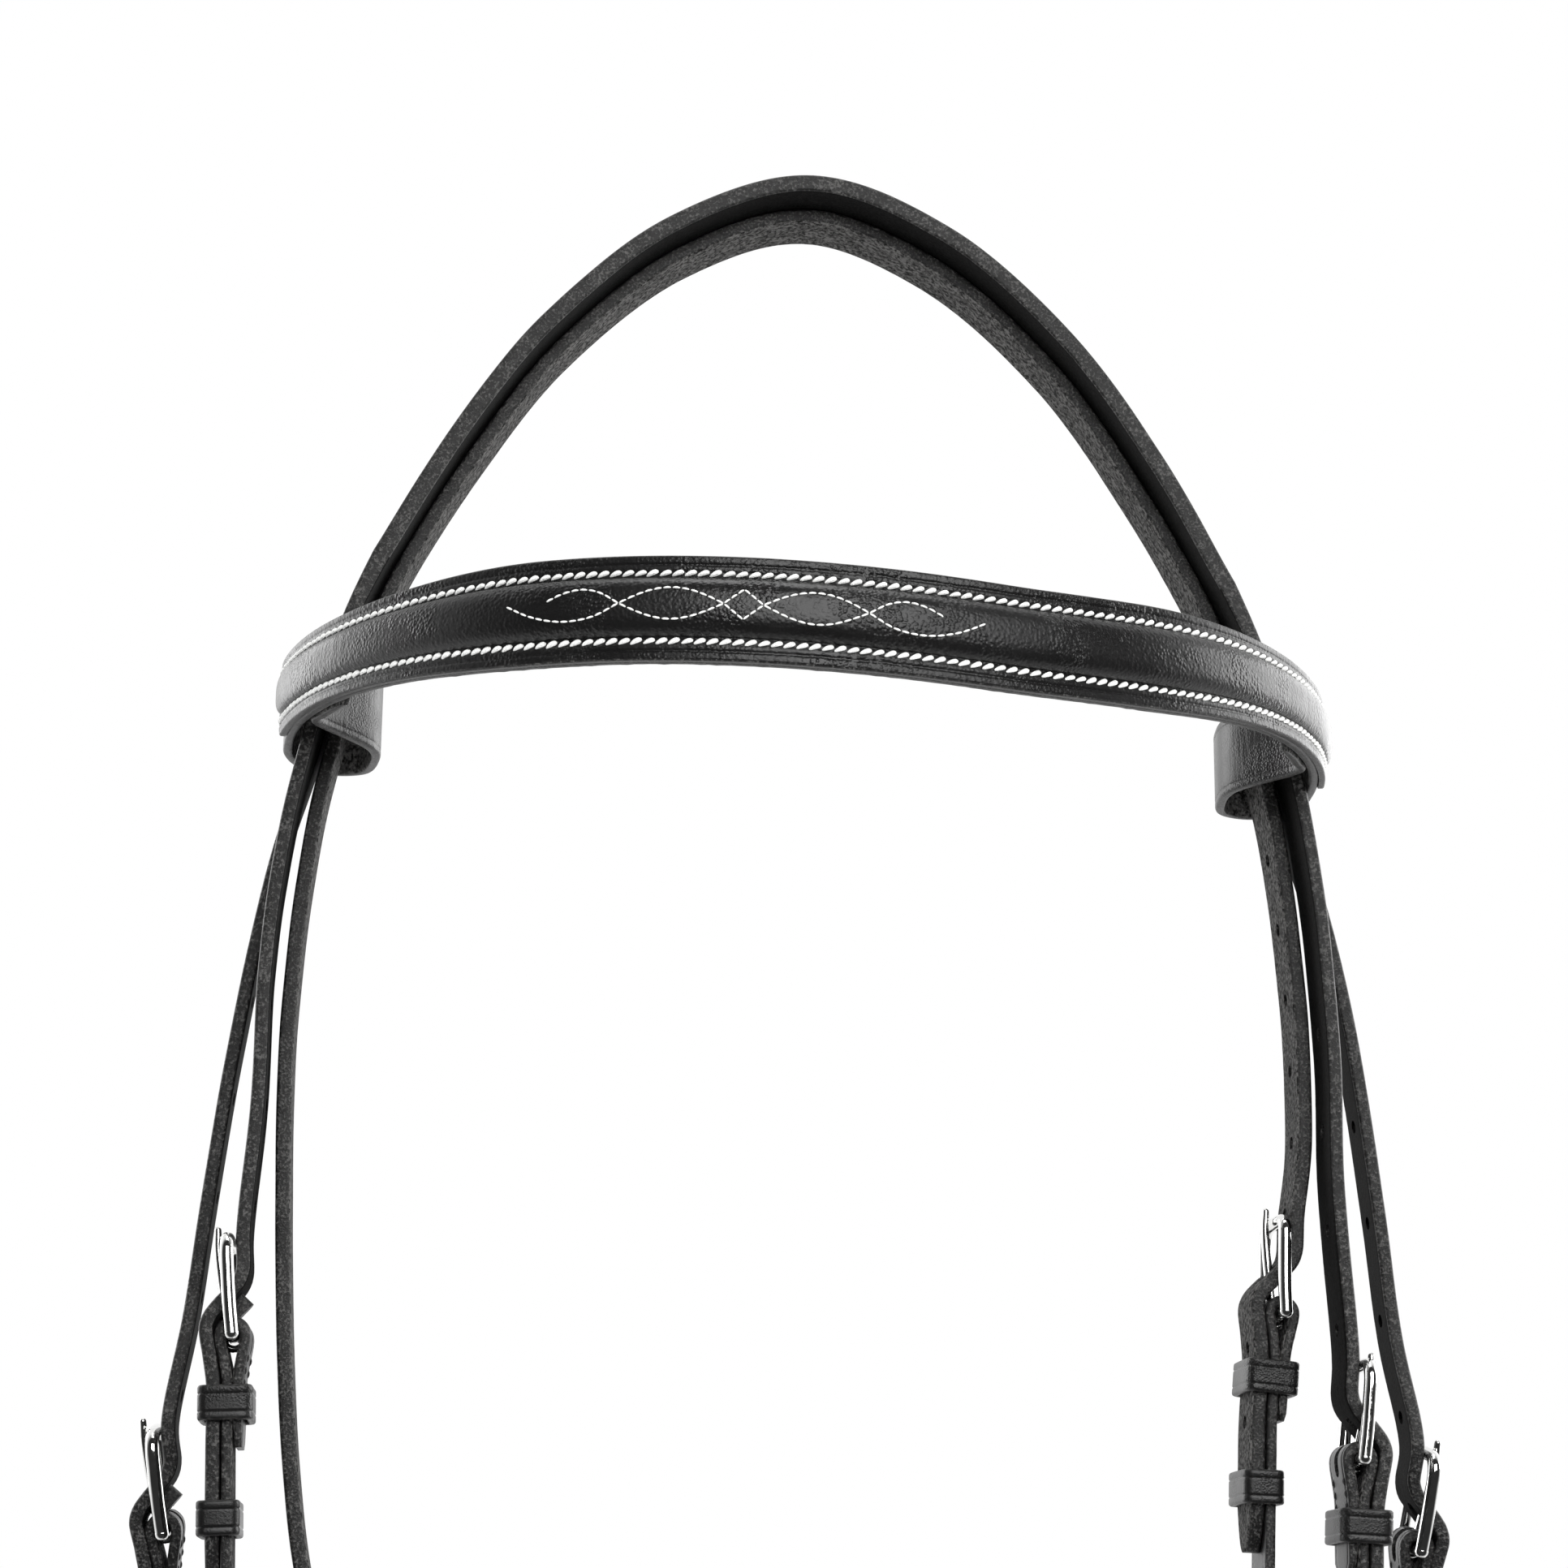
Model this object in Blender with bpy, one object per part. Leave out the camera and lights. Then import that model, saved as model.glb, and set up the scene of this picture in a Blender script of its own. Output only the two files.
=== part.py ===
"""Hunter bridle, headstall without bit or reins: one named object for each piece.

The frame: +X is the near side, -Y the front of the face, +Z up. The origin is the seat of
the poll, in the middle of the underside of the strap that lies on the head.
"""

import math

import bmesh
import bpy
from mathutils import Matrix, Vector

# Fits shared by all pieces
FIT = 0.0003
STITCHED_GAP = 0.0004
CUT_OVERRUN = 0.004
EDGE_ROUND_SHARE = 0.3
MOST_TURN = math.radians(12)
MOST_SAG = 0.00012
MOST_STEP = 0.018
WIRE_TURN = math.radians(16)
CURVE_STEP = 0.0008
STATION_CLEAR = 0.0020

# The head that the bridle fits: half width and drop at the browband, and depth to the forehead
HEAD_HALF_WIDTH = 0.131
BROW_DROP = 0.166
FOREHEAD_DEPTH = 0.118
FOREHEAD_SWAY = 0.010

# Straps
CROWN_WIDTH = 0.032
CROWN_THICK = 0.0048
CROWN_SET_FORWARD = 0.003
SLIT = 0.0008
CROWN_TAPER = 0.030
CHEEK_WIDTH = 0.0159
THROAT_WIDTH = 0.0127
BILLET_THICK = 0.0036
HEADSTRAP_WIDTH = 0.0159
HEADSTRAP_THICK = 0.0038
SEAT_LENGTH = 0.008
SEAT_SET_BACK = 0.002
LAYER_THICK = 0.0024
HOLE_RADIUS = 0.0017
WORKING_HOLE_LENGTH = 0.0085
WORKING_HOLE_WIDTH = 0.0036
TIP_SHARE = 0.35
TIP_LENGTH = 0.012
TIP_STATION_SHARES = (1.0, 0.5, 0.2, 0.07)

# Buckles: wire, and the distance from the bar to the middle of the top rail
BAR_RADIUS = 0.0016
RAIL_RADIUS = 0.0017
BUCKLE_REACH = 0.0235
BUCKLE_SIDE_GAP = 0.0016
RAIL_OUT = 0.0012
TONGUE_RADIUS = 0.0012
TONGUE_EYE_WALL = 0.0018
TONGUE_EYE_SHARE = 0.9
TONGUE_SLOT_SIDE_GAP = 0.0006
TONGUE_OVERHANG = 0.0022
TONGUE_REST_GAP = 0.00045
TONGUE_TAPER_START_SHARE = 0.8
TONGUE_TIP_SHARE = 0.55
RAIL_CORNER_SHARE = 2.4
RAIL_BOW_SHARES = ((0.0, 0.0), (0.3, 0.5), (0.7, 0.9))

# Keepers
KEEPER_WALL = 0.0018
KEEPER_HEIGHT = 0.0085
KEEPER_CORNER = 0.0016
FIXED_KEEPER_DROP = 0.0165
RUNNING_KEEPER_DROP = 0.044
CHAPE_RETURN = 0.027
BILLET_TAIL = 0.060
BILLET_SETTLE_DROP = 0.0088
BILLET_CROSSING_HIGH = 0.0160
BILLET_CROSSING_LOW = 0.0020
BILLET_CROSSING_KNOTS = 5
CHAPE_NECK_SHARE = 3.4
WORKING_HOLE_RISE = 0.0090

# Where each buckle bar hangs below the crown's top, and hole pitches
CHEEK_BAR_DROP = {"off": 0.3145, "near": 0.3400}
THROAT_BAR_DROP = 0.3600
NOSE_BAR_DROP = 0.3030
HOLE_PITCH = 0.0254
NOSE_HOLE_PITCH = 0.0190

# Bit ends, noseband and throatlatch
CHEEKPIECE_LENGTH = 0.160
BIT_FOLD_HALF_WIDTH = 0.131
BIT_SEAT_RADIUS = 0.005
BIT_RETURN = 0.046
STUD_NECK_RADIUS = 0.0016
STUD_BUTTON_RADIUS = 0.0036
STUD_RISE = 0.030
STUD_HEAD_SHARE = 0.9
STUD_HEAD_SHARES = ((0.0, 0.7), (0.8, 0.6), (1.0, 0.3), (1.0, 0.0))
STUD_BUTTON_SHARES = ((0.92, 0.0), (1.0, 0.3), (0.7, 0.7), (0.0, 0.85))
BIT_KEEPER_RISE = 0.016
NOSE_DROP = 0.452
NOSE_WIDTH = 0.0254
NOSE_STRAP_WIDTH = 0.0191
NOSE_FRONT_DEPTH = 0.104
NOSE_HALF_WIDTH = 0.112
JAW_BACK_DEPTH = 0.078
HANG_CLEAR = 0.0008
NOSE_FRONT_START = math.radians(13)
NOSE_KNOTS = 16
JAW_CHAPE_SHARE = 1.7
JAW_BILLET_SHARE = 1.9
NOSE_WIDE_END = math.radians(191.5)
HANG_SHARE = 0.7
THROAT_LOW_DROP = 0.486
THROAT_BACK_DEPTH = 0.105

# Browband
BROW_WIDTH = 0.0254
BROW_BACKING = 0.0026
BROW_COVER = 0.0014
RAISED_WIDTH = 0.0142
RAISED_HEIGHT = 0.0034
BROW_MIDDLE_DROP = 0.158
BROW_LOOP_SPACE = 0.0222
BROW_LOOP_CLEAR = 0.0034
BROW_TILT = math.radians(2.4)
BROW_SHIFT = 0.0015
BROW_LOOP_BACK = 0.0185
BROW_TAB_START = math.radians(27)
BROW_TAB_END = math.radians(16)
RAISED_START = math.radians(7)
BROW_KNOTS = 30
BROW_TAB_KNOTS = 4
BROW_TAB_GAP_SHARE = 1.5
# Across the loop from its inner side, and back from the browband's ends, as shares of its space
BROW_LOOP_SHARES = ((0.0, -0.55), (-0.014, 0.1), (0.14, 0.76), (0.5, 1.0), (0.86, 0.76), (1.0, 0.25))
# The padded section, from its edge to its middle, and how high a padded front starts
RAISED_SHARES = ((1.0, 0.0), (0.86, 0.62), (0.55, 0.92), (0.0, 1.0))
RAISED_END_SHARE = 0.12

STACK = CROWN_THICK + FIT + HEADSTRAP_THICK
BIT_FOLD_DROP = max(CHEEK_BAR_DROP.values()) + CHEEKPIECE_LENGTH
SIDES = {"off": -1, "near": 1}
ROUND_SIDES = 8

# Shares of the head's half width and of the browband's drop, down the outside of the crownpiece
ARCH_SHARES = ((0.284, 0.081), (0.540, 0.262), (0.718, 0.458), (0.868, 0.669))
# Shares of the half width for each strap's outer face below the split, with shares of the drop
# to the browband up to 1, and beyond 1 of the rest of the way to the top of the strap's buckle
THROAT_SHARES = (
    (0.938, 0.815),
    (1.000, 1.000),
    (1.048, 1.131),
    (1.098, 1.349),
    (1.145, 1.628),
    (1.172, 1.835),
)
CHEEK_SHARES = ((0.938, 0.815), (1.000, 1.000), (1.034, 1.200), (1.056, 1.468), (1.056, 1.713))
HEADSTRAP_SHARES = ((0.898, 0.820), (0.958, 1.000), (0.986, 1.197), (1.010, 1.526), (1.012, 1.830))
# Shares of the throatlatch's half width, back depth and low drop, from the buckle to its middle
THROATLATCH_SHARES = (
    (0.96, 0.12, 0.874),
    (0.88, 0.42, 0.922),
    (0.66, 0.76, 0.970),
    (0.34, 0.95, 0.994),
    (0.0, 1.0, 1.0),
)


# Shares of the way along a billet's tail, along a bit end's two layers, and up a padded end
TAIL_SHARES = (0.0, 0.05, 0.16, 0.28, 0.42, 0.57, 0.72, 0.86, 1.0)
LAYER_SHARES = (0.0, 0.06, 0.2, 0.5, 1.0)
RAMP_SHARES = (0.0, 0.25, 0.6, 1.0)
CHEEK_KNOT_SHARES = (0.3, 0.7)
THROAT_TURN_SHARE = 0.25


def clear_scene():
    for obj in list(bpy.data.objects):
        bpy.data.objects.remove(obj, do_unlink=True)


def material(name, color, roughness, metallic=0.0):
    made = bpy.data.materials.get(name) or bpy.data.materials.new(name)
    made.use_nodes = True
    shader = made.node_tree.nodes["Principled BSDF"]
    shader.inputs["Base Color"].default_value = (*color, 1.0)
    shader.inputs["Roughness"].default_value = roughness
    shader.inputs["Metallic"].default_value = metallic
    return made


def leather(name):
    return material(name + "_leather", (0.012, 0.011, 0.011), 0.42)


def steel(name):
    return material(name + "_steel", (0.72, 0.72, 0.71), 0.16, 1.0)


def finish(bm, name, skin):
    """Close, turn outward, shade and place one object, and return it."""
    bmesh.ops.recalc_face_normals(bm, faces=bm.faces)
    mesh = bpy.data.meshes.new(name)
    bm.to_mesh(mesh)
    bm.free()
    mesh.shade_smooth()
    mesh.set_sharp_from_angle(angle=math.radians(35))
    obj = bpy.data.objects.new(name, mesh)
    bpy.context.scene.collection.objects.link(obj)
    mesh.materials.append(skin)
    return obj


def cut(obj, cutter, operation="DIFFERENCE", solver="EXACT"):
    """Cut one object with another, which stays as a hidden guide."""
    cutter.hide_render = True
    cutter.display_type = "WIRE"
    made = obj.modifiers.new("cut_" + cutter.name, "BOOLEAN")
    made.operation = operation
    made.solver = solver
    made.object = cutter


def smooth_through(points):
    """A dense smooth curve through the points, with uneven spans kept free of loops."""
    points = [Vector(p) for p in points]
    first = points[0] * 2 - points[1]
    last = points[-1] * 2 - points[-2]
    line = [first, *points, last]
    dense = [points[0]]
    for a, b, c, d in zip(line, line[1:], line[2:], line[3:]):
        spans = [math.sqrt((q - p).length) for p, q in ((a, b), (b, c), (c, d))]
        start = (c - b) / spans[1] - (c - a) / (spans[0] + spans[1]) + (b - a) / spans[0]
        end = (d - c) / spans[2] - (d - b) / (spans[1] + spans[2]) + (c - b) / spans[1]
        start, end = start * spans[1], end * spans[1]
        count = max(2, math.ceil((c - b).length / CURVE_STEP))
        for i in range(1, count + 1):
            t = i / count
            dense.append(
                b * (2 * t**3 - 3 * t**2 + 1)
                + start * (t**3 - 2 * t**2 + t)
                + c * (3 * t**2 - 2 * t**3)
                + end * (t**3 - t**2)
            )
    return dense


def tangent_at(dense, i):
    return (dense[min(i + 1, len(dense) - 1)] - dense[max(i - 1, 0)]).normalized()


class Path:
    """A strap's middle line with the direction across it, read by distance along it."""

    def __init__(self, points, across):
        self.dense = smooth_through(points)
        self.across = across
        self.lengths = [0.0]
        for a, b in zip(self.dense, self.dense[1:]):
            self.lengths.append(self.lengths[-1] + (b - a).length)
        self.length = self.lengths[-1]

    def index(self, distance):
        return min(range(len(self.lengths)), key=lambda i: abs(self.lengths[i] - distance))

    def nearest(self, point):
        """The distance along the path of its nearest point."""
        best = min(range(len(self.dense)), key=lambda i: (self.dense[i] - Vector(point)).length)
        return self.lengths[best]

    def frame(self, distance):
        """Columns: across the strap, out of its face, along it; then the middle point."""
        i = self.index(distance)
        along = tangent_at(self.dense, i)
        across = self.across(distance / self.length) if callable(self.across) else self.across
        across = (Vector(across) - along * along.dot(Vector(across))).normalized()
        out = along.cross(across)
        turn = Matrix((across, out, along)).transposed().to_4x4()
        return Matrix.Translation(self.dense[i]) @ turn

    def stations(self, also=(), most_turn=MOST_TURN, flat=()):
        """Distances along the path, closer together where it bends, with those named kept.

        The two ends of a flat seat are kept too, with none between them.
        """
        found, last, heading = [0.0], 0, tangent_at(self.dense, 0)
        for i in range(1, len(self.dense)):
            chord = self.dense[i] - self.dense[last]
            middle = self.dense[(i + last) // 2] - self.dense[last]
            sag = middle.cross(chord).length / chord.length
            here = tangent_at(self.dense, i)
            far = self.lengths[i] - found[-1] > MOST_STEP
            if far or sag > MOST_SAG or here.angle(heading) > most_turn:
                found.append(self.lengths[i])
                last, heading = i, here
        if self.length - found[-1] < STATION_CLEAR:
            found.pop()
        found.append(self.length)
        named = [*also, *flat]
        kept = [d for d in found if all(abs(d - own) > STATION_CLEAR for own in named)]
        if kept[-1] < self.length:
            kept.append(self.length)
        if flat:
            kept = [d for d in kept if not flat[0] < d < flat[1]]
        return sorted([*kept, *named])


def strap_outline(width, thick, middle=0.0):
    """Eight corners of a strap's section with its edges taken off."""
    half, rise = width / 2, thick / 2
    bite = thick * EDGE_ROUND_SHARE
    return [
        (middle - half, bite - rise),
        (middle - half + bite, -rise),
        (middle + half - bite, -rise),
        (middle + half, bite - rise),
        (middle + half, rise - bite),
        (middle + half - bite, rise),
        (middle - half + bite, rise),
        (middle - half, rise - bite),
    ]


def start_face(bm, outline, frame):
    """One face of the section, with each corner's own place on the section kept."""
    place = bm.verts.layers.float_vector.get("section") or bm.verts.layers.float_vector.new("section")
    corners = []
    for across, out in outline:
        corner = bm.verts.new(frame @ Vector((across, out, 0)))
        corner[place] = Vector((across, out, 0))
        corners.append(corner)
    return bm.faces.new(corners)


def extend(bm, faces, path, stations, shape=None):
    """Draw the section's faces along the path, and return the last ones."""
    place = bm.verts.layers.float_vector["section"]
    for distance in stations:
        section = list(faces)
        walled = any(other not in section for f in section for e in f.edges for other in e.link_faces)
        drawn = bmesh.ops.extrude_face_region(bm, geom=section)["geom"]
        faces = [item for item in drawn if isinstance(item, bmesh.types.BMFace)]
        if walled:
            bmesh.ops.delete(bm, geom=section, context="FACES")
        frame = path.frame(distance)
        for corner in (item for item in drawn if isinstance(item, bmesh.types.BMVert)):
            across, out, _ = corner[place]
            if shape:
                across, out = shape(distance, across, out)
            corner.co = frame @ Vector((across, out, 0))
    return faces


def strap(name, path, width, thick, shape=None, also=(), flat=()):
    """A leather strap drawn along its path, with stations of its own where they are named."""
    bm = bmesh.new()
    stations = path.stations(also, flat=flat)
    face = start_face(bm, strap_outline(width, thick), path.frame(0.0))
    if shape:
        place = bm.verts.layers.float_vector["section"]
        for corner in face.verts:
            across, out, _ = corner[place]
            corner.co = path.frame(0.0) @ Vector((*shape(0.0, across, out), 0))
    extend(bm, [face], path, stations[1:], shape)
    return finish(bm, name, leather(name))


def pointed(path):
    """Narrow the last stretch of a billet to its rounded tip."""

    def shape(distance, across, out):
        left = min(1.0, max(0.0, (path.length - distance) / TIP_LENGTH))
        share = TIP_SHARE + (1 - TIP_SHARE) * math.sqrt(left)
        return across * share, out

    return shape


def tip_stations(path):
    """Where the rounded tip of a billet is drawn, its very end aside."""
    return [path.length - TIP_LENGTH * share for share in TIP_STATION_SHARES]


def round_cutter(name, frame, radius, depth):
    bm = bmesh.new()
    bmesh.ops.create_cone(
        bm, cap_ends=True, segments=ROUND_SIDES, radius1=radius, radius2=radius, depth=depth
    )
    turn = Matrix.Rotation(math.pi / 2, 4, "X")
    bmesh.ops.transform(bm, matrix=frame @ turn, verts=bm.verts)
    return finish(bm, name, leather("cutter"))


def punch_set(obj, path, distances, thick, name, overrun=CUT_OVERRUN):
    """Punch a row of round holes through the strap's face, as one joined cutter."""
    bm = bmesh.new()
    for distance in distances:
        hole = bmesh.ops.create_cone(
            bm,
            cap_ends=True,
            segments=ROUND_SIDES,
            radius1=HOLE_RADIUS,
            radius2=HOLE_RADIUS,
            depth=thick + overrun,
        )
        turn = Matrix.Rotation(math.pi / 2, 4, "X")
        bmesh.ops.transform(bm, matrix=path.frame(distance) @ turn, verts=hole["verts"])
    cut(obj, finish(bm, name + "_punches", leather("cutter")))


def box_cutter(name, frame, across, out, along):
    bm = bmesh.new()
    bmesh.ops.create_cube(bm, size=1)
    size = Matrix.Diagonal((across, out, along, 1))
    bmesh.ops.transform(bm, matrix=frame @ size, verts=bm.verts)
    return finish(bm, name, leather("cutter"))


# Lines down the side of the head
def drop_at(share, bar_drop):
    """A drop from its share: up to 1 to the browband, beyond 1 on to the buckle's top rail."""
    if share <= 1:
        return BROW_DROP * share
    return BROW_DROP + (bar_drop - BUCKLE_REACH - RAIL_RADIUS - BROW_DROP) * (share - 1)


def side_point(side, half_width, drop, forward=0.0):
    return Vector((SIDES[side] * half_width, -forward, STACK - drop))


def arch_points(depth):
    """Knots over the poll, at a depth under the crownpiece's outer face, off side to near side."""
    forward = CROWN_SET_FORWARD if depth < CROWN_THICK else 0
    outer = [side_point("near", HEAD_HALF_WIDTH * a, BROW_DROP * b, forward) for a, b in ARCH_SHARES]
    whole = mirrored(outer, forward)
    line = smooth_through(whole)
    knots = []
    for knot in whole:
        i = min(range(len(line)), key=lambda k: (line[k] - knot).length)
        along = tangent_at(line, i)
        inward = Vector((along.z, 0, -along.x))
        low_down = abs(knot.x) > HEAD_HALF_WIDTH * ARCH_SHARES[1][0]
        knots.append(line[i] + inward * (depth + FIT * (depth > CROWN_THICK and low_down)))
    return knots


def mirrored(points, forward):
    """The off side's points, the top of the head, then the near side's."""
    off = [Vector((-p.x, p.y, p.z)) for p in reversed(points)]
    return off + [Vector((0, -forward, STACK))] + list(points)


# Buckles
class Buckle:
    """A place on a strap: origin on the bar, with across, out of the strap and up the strap."""

    def __init__(self, name, bar, up, out, width, billet_thick=BILLET_THICK):
        self.name, self.width, self.billet_thick = name, width, billet_thick
        up, out = Vector(up).normalized(), Vector(out)
        out = (out - up * up.dot(out)).normalized()
        across = out.cross(up)
        turn = Matrix((across, out, up)).transposed().to_4x4()
        self.frame = Matrix.Translation(Vector(bar)) @ turn
        self.wrap = BAR_RADIUS + FIT + LAYER_THICK / 2
        self.layer = (LAYER_THICK + STITCHED_GAP) / 2
        self.billet_low = self.layer + LAYER_THICK / 2 + FIT + billet_thick / 2
        self.billet_over = self.wrap + LAYER_THICK / 2 + FIT + billet_thick / 2
        self.billet_under = RAIL_OUT - RAIL_RADIUS - FIT - billet_thick / 2

    def at(self, out, up):
        return self.frame @ Vector((0, out, up))

    def carry(self, path):
        """Keep the strap that carries the buckle, so that the billet lies along it."""
        self.path = path
        self.bar_place = path.nearest(self.at(self.wrap, 0))
        self.heading = 1 if self.bar_place < path.length / 2 else -1

    def lay(self, drop):
        """A place on the carrying strap's outer layer, turned like the buckle."""
        spot = self.path.frame(self.bar_place + self.heading * drop)
        up = spot.col[2].xyz * -self.heading
        out = spot.col[1].xyz
        if out.dot(self.frame.col[1].xyz) < 0:
            out = -out
        turn = Matrix((out.cross(up), out, up)).transposed().to_4x4()
        return Matrix.Translation(spot.translation) @ turn

    def billet(self):
        """Knots of the billet: behind the top rail, out through the frame, over the bar, down."""
        points = [self.at(self.billet_under, BUCKLE_REACH + RAIL_RADIUS)]
        fall = BILLET_CROSSING_HIGH - BILLET_CROSSING_LOW
        for i in range(BILLET_CROSSING_KNOTS + 1):
            share = i / BILLET_CROSSING_KNOTS
            rise = share * share * (3 - 2 * share)
            out = self.billet_under + (self.billet_over - self.billet_under) * rise
            points.append(self.at(out, BILLET_CROSSING_HIGH - fall * share))
        halfway = (self.billet_over + self.billet_low) / 2
        points.append(self.at(halfway, -BILLET_SETTLE_DROP / 2))
        lift = Vector((0, self.billet_low - self.layer, 0))
        for share in TAIL_SHARES:
            drop = BILLET_SETTLE_DROP + (BILLET_TAIL - BILLET_SETTLE_DROP) * share
            points.append(self.lay(drop) @ lift)
        return points

    def chape(self):
        """Knots of the strap end: up the inside, round the bar, and down the outside."""
        neck = -self.wrap * CHAPE_NECK_SHARE
        points = [self.at(-self.layer, -CHAPE_RETURN), self.at(-self.layer, neck)]
        for step in range(7):
            turn = math.pi - step * math.pi / 6
            points.append(self.at(self.wrap * math.cos(turn), self.wrap * math.sin(turn)))
        points.append(self.at(self.layer, neck))
        points.append(self.at(self.layer, -CHAPE_RETURN))
        return points

    def slot(self, strap_object):
        """The slot in the fold that the tongue comes out of."""
        side = (TONGUE_RADIUS + TONGUE_SLOT_SIDE_GAP) * 2
        deep = (self.wrap + LAYER_THICK) * 2
        low = -(BAR_RADIUS + FIT + TONGUE_EYE_WALL + TONGUE_SLOT_SIDE_GAP)
        high = self.wrap * 2
        place = self.frame @ Matrix.Translation((0, 0, (low + high) / 2))
        cut(strap_object, box_cutter(self.name + "_slot", place, side, deep, high - low))

    def working_hole(self, strap_object, path):
        """The billet hole stretched along the strap by the tongue through it."""
        middle = path.nearest(self.tongue_point(WORKING_HOLE_RISE))
        name, deep = self.name + "_working_hole", CUT_OVERRUN * 3
        tool = box_cutter(name, path.frame(middle), WORKING_HOLE_WIDTH, deep, WORKING_HOLE_LENGTH)
        cut(strap_object, tool)
        return middle

    def tongue_line(self):
        """The tongue's middle line, from above its eye to its tip on the top rail."""
        low = Vector((0, TONGUE_RADIUS, BAR_RADIUS + TONGUE_EYE_WALL / 2))
        clear = RAIL_RADIUS + TONGUE_REST_GAP + TONGUE_RADIUS
        rest = Vector((0, RAIL_OUT + clear, BUCKLE_REACH))
        past = (RAIL_RADIUS + TONGUE_OVERHANG) / (rest.z - low.z)
        return low, rest + (rest - low) * past

    def tongue_point(self, up):
        low, high = self.tongue_line()
        share = (up - low.z) / (high.z - low.z)
        return self.frame @ low.lerp(high, share)

    def rail_knots(self):
        """Middle line of the frame's wire, from the bar up one side, along the top and back."""
        half = self.width / 2 + BUCKLE_SIDE_GAP + RAIL_RADIUS
        corner = RAIL_RADIUS * RAIL_CORNER_SHARE
        bow = RAIL_OUT
        right = [Vector((half, bow * out, BUCKLE_REACH * up)) for up, out in RAIL_BOW_SHARES]
        for step in range(4):
            turn = step * math.pi / 6
            right.append(
                Vector(
                    (
                        half - corner + corner * math.cos(turn),
                        bow,
                        BUCKLE_REACH - corner + corner * math.sin(turn),
                    )
                )
            )
        left = [Vector((-p.x, p.y, p.z)) for p in reversed(right)]
        return right + left

    def make_frame(self):
        """A wire frame bent to shape, with its straight bar across the bottom."""
        path = Path(self.rail_knots(), Vector((0, 1, 0)))
        bm = bmesh.new()
        outline = round_outline(RAIL_RADIUS)
        face = start_face(bm, outline, path.frame(0.0))
        extend(bm, [face], path, path.stations(most_turn=WIRE_TURN)[1:])
        obj = finish(bm, self.name + "_frame", steel(self.name + "_frame"))
        half = self.width / 2 + BUCKLE_SIDE_GAP + RAIL_RADIUS
        bar = bmesh.new()
        bmesh.ops.create_cone(
            bar,
            cap_ends=True,
            segments=ROUND_SIDES,
            radius1=BAR_RADIUS,
            radius2=BAR_RADIUS,
            depth=half * 2 + RAIL_RADIUS,
        )
        lay = Matrix.Rotation(math.pi / 2, 4, "Y")
        bmesh.ops.transform(bar, matrix=lay, verts=bar.verts)
        rod = finish(bar, self.name + "_bar", steel(self.name + "_bar"))
        cut(obj, rod, "UNION")
        obj.matrix_world = self.frame
        rod.matrix_world = self.frame
        return obj

    def make_tongue(self):
        """The eye round the bar with the shank that lies on the top rail, origin on the bar."""
        name = self.name + "_tongue"
        bm = bmesh.new()
        inner, outer = BAR_RADIUS + FIT, BAR_RADIUS + FIT + TONGUE_EYE_WALL
        ring = bmesh.ops.create_circle(bm, segments=ROUND_SIDES + 4, radius=outer, cap_ends=True)
        face = ring["verts"][0].link_faces[0]
        bmesh.ops.inset_region(
            bm, faces=[face], thickness=outer - inner, use_even_offset=True, use_boundary=True
        )
        bmesh.ops.delete(bm, geom=[face], context="FACES")
        drawn = bmesh.ops.extrude_face_region(bm, geom=bm.faces[:])["geom"]
        moved = [item for item in drawn if isinstance(item, bmesh.types.BMVert)]
        wide = TONGUE_RADIUS * 2 * TONGUE_EYE_SHARE
        bmesh.ops.translate(bm, vec=(0, 0, wide), verts=moved)
        lay = Matrix.Rotation(math.pi / 2, 4, "Y") @ Matrix.Translation((0, 0, -wide / 2))
        bmesh.ops.transform(bm, matrix=lay, verts=bm.verts)
        eye = finish(bm, name, steel(name))
        low, high = self.tongue_line()
        line = Path([low, low.lerp(high, 0.5), high], Vector((1, 0, 0)))
        shank = bmesh.new()
        face = start_face(shank, round_outline(TONGUE_RADIUS), line.frame(0.0))

        def tip(distance, across, out):
            past = max(0, distance / line.length - TONGUE_TAPER_START_SHARE)
            share = 1 - (1 - TONGUE_TIP_SHARE) * past / (1 - TONGUE_TAPER_START_SHARE)
            return across * share, out * share

        shares = (0.5, TONGUE_TAPER_START_SHARE, 1)
        extend(shank, [face], line, [line.length * share for share in shares], tip)
        rod = finish(shank, name + "_shank", steel(name))
        cut(eye, rod, "UNION")
        eye.matrix_world = self.frame
        rod.matrix_world = self.frame
        return eye

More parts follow.
